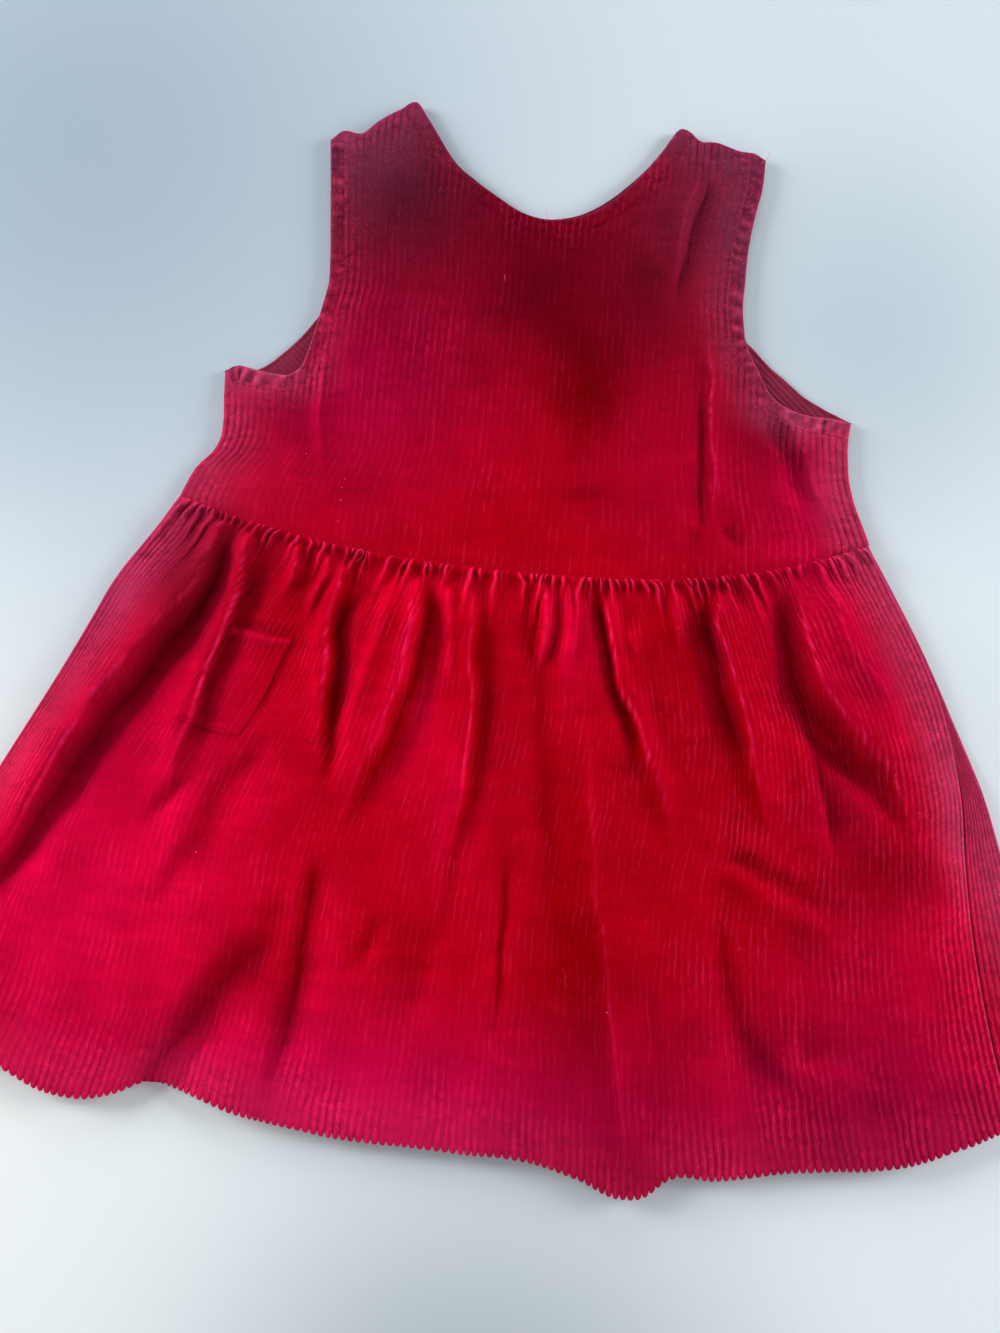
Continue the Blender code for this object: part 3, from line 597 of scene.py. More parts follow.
def mixNode(tree, factor, first, second):
    node = tree.nodes.new("ShaderNodeMix")
    node.data_type = "RGBA"
    for socket, value in zip((node.inputs[0], node.inputs[6], node.inputs[7]), (factor, first, second)):
        if isinstance(value, tuple):
            socket.default_value = (*value, 1.0)
        else:
            tree.links.new(value, socket)
    return node.outputs[2]


def scaleNode(tree, colour, level):
    fixed = isinstance(colour, tuple)
    values, sources = ({0: colour}, {}) if fixed else ({}, {0: colour})
    node = newNode(tree, "ShaderNodeVectorMath", values, sources)
    node.operation = "SCALE"
    tree.links.new(level, node.inputs["Scale"])
    return node.outputs[0]


def bumpNode(tree, height, strength, distance, before=None):
    node = newNode(tree, "ShaderNodeBump", {"Strength": strength, "Distance": distance}, {"Height": height})
    if before is not None:
        tree.links.new(before, node.inputs["Normal"])
    return node.outputs["Normal"]


def corduroyMaterial():
    material, tree, shader = newMaterial("corduroyPile", {
        "Roughness": 0.92,
        "Specular IOR Level": 0.0,
        "Sheen Weight": 0.4,
        "Sheen Roughness": 0.4,
        "Sheen Tint": (1.0, 0.012, 0.22, 1.0),
    })
    coordinates = tree.nodes.new("ShaderNodeTexCoord")
    place, weave = coordinates.outputs["Object"], coordinates.outputs["UV"]
    paintedLightNode = tree.nodes.new("ShaderNodeAttribute")
    paintedLightNode.attribute_name = "paintedLight"
    split = newNode(tree, "ShaderNodeSeparateColor", {}, {0: paintedLightNode.outputs["Color"]})
    # the painted light and shade of the attribute, times an uneven tone
    light = times(tree, split.outputs[0], paintedLight["scale"])
    haze, rose, crisp = split.outputs[1], split.outputs[2], paintedLightNode.outputs["Alpha"]

    blotch = rampNode(tree, noiseNode(tree, place, 34.0, 4.0, 0.6), 0.3, 0.8)
    rubbed = noiseNode(tree, stretched(tree, place, (38.0, 170.0, 1.0)), 1.0, 4.0, 0.6)
    uneven = times(tree, blotch, -0.19, times(tree, rubbed, 0.34, 0.76))
    level = times(tree, light, uneven)

    # every cord is rubbed unevenly along its length
    axes = newNode(tree, "ShaderNodeSeparateXYZ", {}, {0: weave})
    across, along = axes.outputs["X"], axes.outputs["Y"]
    cord = times(tree, mathNode(tree, "FLOOR", across), 3.7)
    kinks = newNode(tree, "ShaderNodeCombineXYZ", {}, {"X": cord, "Y": times(tree, along, 0.9)})
    nipped = noiseNode(tree, kinks.outputs[0], 1.0, 2.0, 0.5)
    litOrRubbed = times(tree, mathNode(tree, "ADD", nipped, -0.5), crisp, 1.0)
    level = times(tree, level, litOrRubbed)

    # painted shade and light: dark red where the painted light is low, rose (painted sky reflection) where it
    # is high, pink in painted highlights, wine in the painted sheen
    bright = rampNode(tree, light, 0.55, 2.2)
    base = mixNode(tree, bright, coloursAndPaintedLight["red"], coloursAndPaintedLight["rose"])
    base = mixNode(tree, rose, base, coloursAndPaintedLight["pink"])
    base = mixNode(tree, haze, base, coloursAndPaintedLight["wine"])
    base = scaleNode(tree, base, level)

    # painted highlights: broken bright dashes along the cords, denser where the pile is crisp
    spot = newNode(tree, "ShaderNodeCombineXYZ", {}, {"X": cord, "Y": times(tree, along, 0.25)})
    threshold = times(tree, crisp, 0.20, -0.07)
    dashNoise = mathNode(tree, "ADD", noiseNode(tree, spot.outputs[0], 1.0, 4.0, 0.6), threshold)
    wander = times(tree, nipped, 0.6, mathNode(tree, "ADD", across, -0.3))
    crown = rampNode(tree, mathNode(tree, "PINGPONG", wander, 0.5), 0.33, 0.48)
    dashes = times(tree, rampNode(tree, dashNoise, 0.44, 0.64), crown)
    dashes = times(tree, dashes, times(tree, crisp, 0.6, 0.18))
    streak = scaleNode(tree, coloursAndPaintedLight["streak"], times(tree, level, 0.75, 0.15))
    base = mixNode(tree, dashes, base, streak)

    # painted shade in the valley between two cords, darker in some places than in others
    wave = mathNode(tree, "PINGPONG", mathNode(tree, "ADD", across, 0.5), 0.5)
    patchy = noiseNode(tree, stretched(tree, weave, (0.5, 0.13, 1.0)), 1.0, 3.0)
    darker = times(tree, rampNode(tree, patchy, 0.35, 0.7), 0.35)
    valley = times(tree, rampNode(tree, wave, 0.30, 0.5), darker)
    base = mixNode(tree, times(tree, valley, crisp), base, coloursAndPaintedLight["valley"])

    # painted glints of loose fibres in the painted sheen (haze) and along crisp cords
    specks = rampNode(tree, noiseNode(tree, place, 1300.0, 2.0, 0.6), 0.60, 0.74)
    caught = times(tree, haze, 0.9, times(tree, crisp, 0.32, -0.03))
    fibreGlint = scaleNode(tree, coloursAndPaintedLight["fibreGlint"], times(tree, level, 0.7, 0.15))
    base = mixNode(tree, times(tree, specks, caught), base, fibreGlint)
    tree.links.new(base, shader.inputs["Base Color"])

    pile = noiseNode(tree, stretched(tree, weave, (7.0, 2.6, 1.0)), 1.0, 4.0, 0.65)
    fibres = noiseNode(tree, place, 1500.0, 2.0)
    normal = bumpNode(tree, pile, 0.55, 0.0006)
    normal = bumpNode(tree, fibres, 0.3, 0.0002, normal)
    tree.links.new(normal, shader.inputs["Normal"])
    return material


def insideMaterial():
    # the wrong side of the cloth: a fine slanting weave
    material, tree, shader = newMaterial("corduroyInside", {
        "Roughness": 0.9,
        "Specular IOR Level": 0.05,
        "Sheen Weight": 0.3,
        "Sheen Roughness": 0.5,
        "Sheen Tint": (1.0, 0.2, 0.35, 1.0),
    })
    place = tree.nodes.new("ShaderNodeTexCoord").outputs["Object"]
    slant = {"Scale": 190.0, "Distortion": 2.2, "Detail": 2.0}
    lines = newNode(tree, "ShaderNodeTexWave", slant, {"Vector": place})
    lines.bands_direction = "DIAGONAL"
    cloud = noiseNode(tree, place, 60.0, 4.0)
    base = mixNode(tree, cloud, coloursAndPaintedLight["lining"], coloursAndPaintedLight["twill"])
    base = mixNode(tree, times(tree, lines.outputs["Fac"], 0.35), base, coloursAndPaintedLight["valley"])
    tree.links.new(base, shader.inputs["Base Color"])
    tree.links.new(bumpNode(tree, lines.outputs["Fac"], 0.5, 0.0004), shader.inputs["Normal"])
    return material


def threadMaterial(name, colour):
    material, tree, shader = newMaterial(name, {"Roughness": 0.7, "Specular IOR Level": 0.0})
    twist = noiseNode(tree, tree.nodes.new("ShaderNodeTexCoord").outputs["Object"], 900.0, 2.0)
    shade = mixNode(tree, twist, tuple(0.6 * part for part in colour), colour)
    tree.links.new(shade, shader.inputs["Base Color"])
    tree.links.new(bumpNode(tree, twist, 0.4, 0.0002), shader.inputs["Normal"])
    return material


corduroy = corduroyMaterial()
inside = insideMaterial()
redThread = threadMaterial("redThread", coloursAndPaintedLight["thread"])
seamThread = threadMaterial("seamThread", coloursAndPaintedLight["seamThread"])
lintFluff = threadMaterial("lintFluff", coloursAndPaintedLight["lint"])
print("finishes ready")

# The front of the skirt: its cords, its gathers and how it lies.
skirt = {
    "cords": 160,
    "gathers": 62,
    "gatherRise": 3.3,
    "seed": 4,
    "length": 248.0,
    "depth": 250.0,  # from the seam's lowest point down to the hem
    "loft": 6.2,
    "loftReach": 13.0,
    "foldDraw": 2.2,  # the most that the folds' slopes take up
    "stiffness": 0.18,
    "hem": 16.0,  # depth of the turned-up hem
    "teeth": 1.6,
    "toothReach": 2.2,
}


def skirtPlan(side, s, v):
    # Place on the cut: s runs from the left side to the right, v from the waist seam to the hem.
    waistRight = side["right"]["x"][0]
    waistX = waist["left"] + s * (waistRight - waist["left"])
    hemX = side["hemLeft"] + s * (side["hemRight"] - side["hemLeft"])
    waistY, hemY = waistLine(waistX) - cloth["seam"], through(hemX, side["hem"], "x", "y")
    x, y = (1 - v) * waistX + v * hemX, (1 - v) * waistY + v * hemY
    for edge, weight, start, end in ((leftSide, 1 - s, waist["left"], side["hemLeft"]),
                                     (side["right"], s, waistRight, side["hemRight"])):
        edgeY = edge["y"][0] + v * (edge["y"][-1] - edge["y"][0])
        x = x + weight * (through(edgeY, edge, "y", "x") - (1 - v) * start - v * end)
    return x, y


def skirtLie(s, v):
    # the same with the height at which the cloth lies, lofted and folded
    x, y = skirtPlan(frontSide, s, v)
    # the panel is narrower at the waist than at the hem
    fromSide = np.minimum(s, 1 - s) * (frontSide["hemRight"] - frontSide["hemLeft"]) * (0.62 + 0.38 * v)
    # lower at the seam and towards the hem
    loft = skirt["loft"] * (0.55 + 0.45 * ease(v / 0.2)) * (1 - 0.55 * ease((v - 0.6) / 0.4))
    rise = loft * (1 - np.exp(-fromSide / skirt["loftReach"]))
    rise = rise + foldRise(x, y, skirtFolds) * ease(fromSide / 14)
    return x, y, cloth["under"] + cloth["gap"] + np.maximum(rise, 0.0)


def skirtCords(passed, rows):
    # Places across each row where the cords lie: evenly along the cloth, not along the plan.
    # The cloth is as wide at the waist as at the hem, and what is spare goes into the folds' slopes.
    s, v = np.linspace(0, 1, 801), np.linspace(0, 1, 61)
    x, y, z = skirtLie(np.tile(s, (61, 1)), np.repeat(v[:, None], 801, axis=1))
    flat, climb = np.hypot(np.diff(x), np.diff(y)), np.abs(np.diff(z))
    draws = np.linspace(0, skirt["foldDraw"], 12)
    widths = np.array([np.hypot(flat, draw * climb).sum(axis=1) for draw in draws])
    draw = np.array([np.interp(skirt["cords"] * cloth["pitch"], wide, draws) for wide in widths.T])
    run = np.pad(np.cumsum(np.hypot(flat, draw[:, None] * climb), axis=1), ((0, 0), (1, 0)))
    places = np.array([np.interp(passed * r[-1], r, s) for r in run])
    blend = np.exp(-(((v[:, None] - v[None, :]) / skirt["stiffness"]) ** 2))
    places = blend @ places / blend.sum(axis=1, keepdims=True)
    return np.array([np.interp(rows, v, line) for line in places.T]).T


def crooked(s, v):
    # cords never lie quite straight
    return s + ripple(500 * s, 250 * v, 41, 0.45, 14, 40) / 450 * ease(np.minimum(s, 1 - s) / 0.02)


def downFromSeam(x, v):
    # distance down the cloth from the waist seam
    return v * (waistLine(x) + skirt["depth"])


def skirtWaves(x, y):
    # low waves that the skirt and its pocket share
    return ripple(x, y, 5, 0.25, 16, 46) + ripple(0.3 * x, y, 15, 0.07, 5, 12)


def gatherPlace(passed):
    # cords counted from the left become gathers counted from the left
    return passed[None, :] / skirt["cords"] * skirt["gathers"]


def gathersAt(across, down):
    # across counts gathers from the left, down is the distance from the seam; each gather has its
    # own height, reach and lean, and a small hook where the seam nips it
    draw = np.random.default_rng(skirt["seed"])
    for number in range(skirt["gathers"]):
        place, high = number + draw.uniform(0.15, 0.85), draw.uniform(0.5, 1.3) * skirt["gatherRise"]
        reach, lean = 3.5 * 8 ** draw.uniform(0, 1) ** 1.5, draw.uniform(-0.016, 0.016)
        hook, width = draw.uniform(-0.4, 0.4), draw.uniform(0.08, 0.14)
        bend = 0.09 * np.sin(down / draw.uniform(1.1, 2.2) + draw.uniform(0, 6.3)) * np.exp(-down / 14)
        crest = place + lean * down + hook * np.exp(-down / 2.2) + bend
        fade = (0.4 + 0.6 * ease(down / 3)) * np.exp(-((down / reach) ** 1.5))
        yield high, np.abs(across - crest), width + 0.011 * down, fade
        if draw.uniform() < 0.6:  # a small pinch beside it
            aside = crest + draw.uniform(0.3, 0.6) * draw.choice([-1, 1])
            fade = np.exp(-((down / draw.uniform(3, 8)) ** 2))
            yield 0.55 * high, np.abs(across - aside), 0.08 + 0.01 * down, fade


def gatherRise(across, down):
    rise = np.zeros(np.broadcast_shapes(across.shape, down.shape))
    for high, away, width, fade in gathersAt(across, down):
        rise = rise + high * fade * np.exp(-((away / width) ** 1.6))
    return rise


def gatherCrest(across, down):
    # a painted highlight on top and painted shade along both flanks
    crest = np.zeros(np.broadcast_shapes(across.shape, down.shape))
    for high, away, _, fade in gathersAt(across, down):
        litOrRubbed = 2.2 * dip(away, 0.08) * (0.3 + 0.7 * np.exp(-down / 9))
        crest = crest + high / skirt["gatherRise"] * fade * (litOrRubbed - 0.32 * dip(away - 0.22, 0.08))
    return crest


def skirtRows():
    # distances down from the waist seam: close at the seam, the hem's stitching and the edge
    top = [0.0, 0.25, 0.6, 1.1, 1.8, 2.7, 3.8, 5.2, 7.0, 9.0, 11.2, 13.6, 16.2, 19.0]
    middle = list(np.arange(22.0, skirt["length"] - 24.0, 4.1))
    fromHem = (22, 20, 18.2, 17, 16.2, 15.4, 14.2, 12.5, 10.5, 8.5, 6.5, 4.8, 3.4, 2.4, 1.7, 1.15, 0.7,
               0.35, 0.12, 0.0)
    return np.array(top + middle + [skirt["length"] - far for far in fromHem]) / skirt["length"]


# The pocket lies over cords of the skirt and between two shares of its length.
pocketCut = {
    "first": 30,
    "last": 41,
    "top": 0.184,
    "bottom": 0.37,
    "clear": 0.33,  # over the skirt
    "wall": 0.6,
    "puff": 0.35,
    "band": 6.0,
    "sewnIn": 1.6,  # its seams lie this far inside its sides
    "sewnTop": 0.004,  # the ends of the side seams, as shares of the skirt's length
    "sewnBottom": 0.0065,
    "weaveFrom": 400.0,
}


def pocketShade(passed, v):
    # painted shadow on the skirt above the pocket and beside its right edge
    fromTop = (v - pocketCut["top"]) * skirt["length"]
    fromBottom = (pocketCut["bottom"] - v) * skirt["length"]
    beside = (passed - pocketCut["last"]) * cloth["pitch"]
    above = ease((passed - pocketCut["first"] + 0.5) / 1.5) * ease((pocketCut["last"] + 0.5 - passed) / 1.5)
    along = ease((fromTop + 2) / 6) * ease((fromBottom - 4) / 16)
    return 0.8 * above * dip(fromTop + 1.3, 1.6) + 0.4 * along * dip(beside - 1.2, 1.8)


def frontSkirtGrids():
    rows = skirtRows()
    passed, cordHeight = cordPlaces(skirt["cords"])
    s = skirtCords(passed / skirt["cords"], rows)
    v = np.repeat(rows[:, None], len(passed), axis=1)
    x, y, z = skirtLie(crooked(s, v), v)
    down, across = downFromSeam(x, v), gatherPlace(passed)
    fromHem = (1 - v) * skirt["length"]
    fromSide = np.minimum(x - x[:, :1], x[:, -1:] - x)
    gather = gatherRise(across, down)
    soft = ease(fromSide / 10) * ease(down / 14) * ease(fromHem / 20)
    wavy = skirtWaves(x, y) * soft
    # the turned-up hem is a little thicker, with a sunk line where it is sewn
    turned = 0.1 * ease((skirt["hem"] - fromHem) / 3.0) - 0.05 * dip(fromHem - skirt["hem"], 0.8)
    # every edge of the wall rounds down
    edge = np.minimum(np.minimum(roundOff(fromHem, cloth["edge"]), roundOff(fromSide, cloth["edge"])),
                      roundOff(down, *cloth["seamRound"]))
    inner = np.stack([x, y, z + 0.3 * gather])
    height = (cloth["ground"] + turned * ease(fromHem / 1.0)) * edge + gather * roundOff(down, 2.5)
    smooth = np.stack([x, y, z + np.maximum(height, 0.35) + wavy])
    normal = normalsOf(*smooth)
    upright = crushed(x, y, fromSide, fromHem, 12)
    # the pile is pinched by the seams and worn at the side
    pinched = (1 - 0.15 * dip(fromHem - skirt["hem"], 0.9)) * (0.4 + 0.6 * ease(down / 9))
    pile = cordHeight[None, :] * cloth["pile"] * pinched * (0.3 + 0.7 * ease(down / 2)) * upright
    pile = pile * (0.35 + 0.65 * ease(fromSide / 1.2)) * (1 + 0.25 * dip(fromHem, 1.2))
    outer = smooth + normal * pile
    # the cords stay on the panel's own side of the waist seam and of the side seam
    outer[1] = np.minimum(outer[1], waistLine(outer[0]) - 0.6 * cloth["seam"])
    outer[0] = np.minimum(outer[0], x[:, -1:])
    # the cords' ends stand out below the valleys, which gives the edge its teeth
    tooth = (cordHeight[None, :] - 0.35) * skirt["teeth"] * np.exp(-((fromHem / skirt["toothReach"]) ** 2))
    tooth = tooth * ease(fromSide / 2.5)
    outer[1] -= tooth
    inner[1] -= tooth
    weave = np.stack([np.repeat(passed[None, :], len(rows), axis=0), -down / cloth["pitch"]])
    lie = np.stack([x, y, z + 0.2 * gather + wavy])
    # painted highlights and shade: on the folds and gathers, the painted shadow by the pocket, and along the
    # edges
    crest = foldCrest(x, y, skirtFolds)
    crest = crest + gatherCrest(across, down)
    # painted shade just below the waist seam
    crest = crest - 0.08 * dip(down - 3, 2.5)
    crest = crest - pocketShade(passed[None, :], v)
    # painted highlight along the sides and the hem
    crest = crest + 0.5 * (1 - ease(fromSide / 1.2)) + 0.4 * (1 - ease(fromHem / 1.0))
    # low on the right the folded strip lies outside of this edge, so the painted sheen (haze) ends there
    fromOutside = fromSide + paintedLight["hazeReach"] * (1 - ease((y + 180) / 100)) * (x > 0)
    paintedLightAndPile = paintedLightAndPileOf(x, y, lie[2], normalsOf(*lie), crest, upright, 1.0, fromSide, fromOutside)
    # painted sheen (haze) towards the hem
    paintedLightAndPile[1] = np.clip(paintedLightAndPile[1] + 0.10 * ease(1 - fromHem / 30), 0, 1)
    return inner, outer, weave, paintedLightAndPile


skirtInner, skirtOuter, skirtWeave, skirtPaintedLight = frontSkirtGrids()
frontSkirt = layCloth("frontSkirtCloth", corduroy, skirtInner, skirtOuter, skirtWeave, perCord,
                      paintedLightAndPile=skirtPaintedLight)

# The back of the skirt lies flat on the table, and its right side is folded over to the top.
foldedStrip = {"cords": 9, "gap": 0.15, "edge": 1.3, "upright": 0.9, "weaveFrom": 150}


def backSkirt():
    rows = skirtRows()
    passed, cordHeight = cordPlaces(foldedStrip["cords"])
    overlap = passed / foldedStrip["cords"]
    inward = np.concatenate([np.array([0.0, 0.1, 0.3, 0.7, 1.2, 2.0, 4.0]) / 440, np.linspace(0.02, 1, 40)])
    grids = []
    for v in rows:
        ends = skirtPlan(backSide, np.array([0.0, 1.0]), np.array([v, v]))[0]
        seamX = skirtPlan(frontSide, np.array([1.0]), np.array([v]))[0][0]
        for _ in range(3):  # closer to where this row meets the front's edge
            meets = (seamX - ends[0]) / (ends[1] - ends[0])
            seamY = skirtPlan(backSide, np.array([meets]), np.array([v]))[1][0]
            seamX = float(through(seamY, frontSide["right"], "y", "x"))
        strip = ends[1] - seamX - foldedStrip["gap"]
        under = ends[0] + inward * (ends[1] - strip - 0.1 - ends[0])
        x = np.concatenate([under, ends[1] - strip * (1 - overlap)])
        s = (x - ends[0]) / (ends[1] - ends[0])
        y = skirtPlan(backSide, s, np.full_like(s, v))[1]
        folded = ease((strip - 3) / 7) * (x >= ends[1] - strip)
        fromSide = np.minimum(x - x[0], x[-1] - x)
        fromHem = np.full_like(x, (1 - v) * skirt["length"])
        edge = np.minimum(roundOff(fromSide, foldedStrip["edge"]), roundOff(fromHem, foldedStrip["edge"]))
        top = (cloth["under"] + cloth["ground"] * folded) * edge
        top += 0.5 * folded * ripple(x, y, 9, 0.5, 12, 30) * ease(fromSide / 6)
        pile = folded * np.concatenate([np.zeros(len(inward)), cordHeight]) * cloth["pile"]
        grids.append(np.stack([x, y, top, pile, fromSide]))
    x, y, top, pile, fromSides = np.stack(grids, axis=1)
    normal = normalsOf(x, y, top)
    outer = np.stack([x, y, top]) + normal * pile
    onTop = slice(len(inward), None)
    outer[0][:, onTop] = np.maximum(outer[0][:, onTop], x[:, len(inward), None])
    inner = np.stack([x, y, np.zeros_like(x)])
    cordAt = np.concatenate([inward * foldedStrip["weaveFrom"], foldedStrip["weaveFrom"] + passed])
    weave = np.stack([np.repeat(cordAt[None, :], len(rows), axis=0), y / cloth["pitch"]])
    paintedLightAndPile = paintedLightAndPileOf(x, y, top, normal, 0 * x, foldedStrip["upright"], 1.0, fromSides, fromSides)
    return layCloth("backSkirtCloth", corduroy, inner, outer, weave, 1, paintedLightAndPile=paintedLightAndPile)


backSkirtCloth = backSkirt()

# The front of the bodice, with its turned and stitched edges.
bodice = {
    "corners": (-145.0, -102.5, 98.5, 150.0),  # armhole end, strap, strap, armhole end along the chest
    "loft": 2.2,
    "loftReach": 13.0,
    "band": 8.5,
    "puff": 0.12,
    "puckerStep": 6.6,
    "pucker": 1.1,
    "kinkStep": 5.0,
    "waistStitch": 0.9,
    "weaveFrom": 7.0,
    "noSide": 45.0,  # the straps have no side seam, so it counts as this far away
}


def spacedOutline(points, across, along, low=-1e9, high=1e9):
    # points of an outline at even steps
    values = np.linspace(points[across].min(), points[across].max(), 4000)
    line = {across: values, along: through(values, points, across, along)}
    line = np.stack([line["x"], line["y"]], axis=1)
    line = line[(line[:, 0] > low) & (line[:, 0] < high)]
    run = np.append(0, np.cumsum(np.linalg.norm(np.diff(line, axis=0), axis=1)))
    steps = np.arange(0, run[-1], outlineStep)
    return np.stack([np.interp(steps, run, line[:, 0]), np.interp(steps, run, line[:, 1])], axis=1)


def bodiceEdges(armholes):
    # each armhole with its strap, the neck and the shoulders as lines of points
    neck, neckFrom, neckTo = bodiceCut["neck"], bodiceCut["neckFrom"], bodiceCut["neckTo"]
    left = [spacedOutline(armholes["left"], "x", "y"), spacedOutline(bodiceCut["strapLeft"], "y", "x")]
    right = [spacedOutline(bodiceCut["strapRight"], "y", "x")[::-1],
             spacedOutline(armholes["right"], "x", "y")]
    shoulders = [spacedOutline(neck, "x", "y", high=neckFrom), spacedOutline(neck, "x", "y", low=neckTo)]
    return {
        "left": np.concatenate(left),
        "right": np.concatenate(right),
        "neck": spacedOutline(neck, "x", "y", neckFrom, neckTo),
        "shoulders": np.concatenate(shoulders),
    }


def nearest(line, x, y):
    # distance from every grid point to a line of points, and how far along the line it lies
    tree = KDTree(len(line))
    for number, point in enumerate(line):
        tree.insert((point[0], point[1], 0.0), number)
    tree.balance()
    away, along = np.empty(x.size), np.empty(x.size)
    for number, (px, py) in enumerate(zip(x.ravel(), y.ravel())):
        found = tree.find((px, py, 0.0))
        away[number], along[number] = found[2], found[1] * outlineStep
    return away.reshape(x.shape), along.reshape(x.shape)


def bodicePlan(p, cords, rows, armholes, neckDrop=0.0):
    # Place on the cut: p counts cords from the left, rows run from 0 at the waist seam to 1 at the
    # chest and 2 at the neck and shoulders.
    atChest = np.cumsum([0, *cords])
    left, right = armholes["left"], armholes["right"]
    strapLeft, strapRight, top = bodiceCut["strapLeft"], bodiceCut["strapRight"], dict(bodiceCut["neck"])
    top["y"] = top["y"] - neckDrop * np.where(np.abs(top["x"]) < 58, 1.0, 0.2)
    chestX = np.interp(p, atChest, [left["x"][0], strapLeft["x"][0], strapRight["x"][0], right["x"][-1]])
    waistX = waist["left"] + p / atChest[-1] * (waist["right"] - waist["left"])
    chestY = np.where(p < atChest[1], through(chestX, left, "x", "y"),
                      np.where(p > atChest[2], through(chestX, right, "x", "y"), bodiceCut["chest"]))
    waistY = waistLine(waistX) + cloth["seam"]
    strap = np.clip((p - atChest[1]) / cords[1], 0, 1)
    topX = top["x"][0] + strap * (top["x"][-1] - top["x"][0])
    topY = through(topX, top, "x", "y")
    side = p / atChest[-1]
    xs, ys = [], []
    for row in rows:
        low, high = min(row, 1.0), max(row - 1.0, 0.0)
        y = waistY + low * (chestY - waistY) + high * (topY - chestY)
        x = waistX + low * (chestX - waistX)
        bulge = [through(y, edge, "y", "x") - (edge["x"][0] + low * (edge["x"][-1] - edge["x"][0]))
                 for edge in (bodiceCut["left"], bodiceCut["right"])]
        x += (1 - high) * ((1 - side) ** 3 * bulge[0] + side ** 3 * bulge[1])
        if high:
            leftX, rightX = through(y, strapLeft, "y", "x"), through(y, strapRight, "y", "x")
            x = leftX + strap * (rightX - leftX)
        xs.append(x)
        ys.append(y)
    return np.array(xs), np.array(ys)


def bodiceRows():
    # close at the waist seam, at the chest line and at the top
    low = [0, 0.002, 0.005, 0.01, 0.015, 0.02, 0.026, 0.034, 0.044, 0.056, 0.07]
    low += list(np.arange(0.09, 0.85, 0.02))
    low += [0.86, 0.88, 0.9, 0.92, 0.94, 0.955, 0.968, 0.98, 0.988, 0.994, 0.998]
    high = [0.0, 0.01, 0.025] + list(np.arange(0.04, 0.76, 0.015))
    high += [0.77, 0.79, 0.81, 0.825, 0.84, 0.855, 0.87, 0.885, 0.9, 0.915, 0.93, 0.943, 0.955, 0.966]
    high += [0.976, 0.985, 0.992, 0.997, 1.0]
    return np.array(low + [1 + part for part in high]), len(low)


def besideStraps(passed, cords, rows, chestRow):
    # the cells above the chest line that the armholes take out
    middle = (passed[:-1] + passed[1:]) / 2
    aside = (middle < cords[0]) | (middle > cords[0] + cords[1])
    return (np.arange(len(rows) - 1) >= chestRow)[:, None] & aside[None, :]


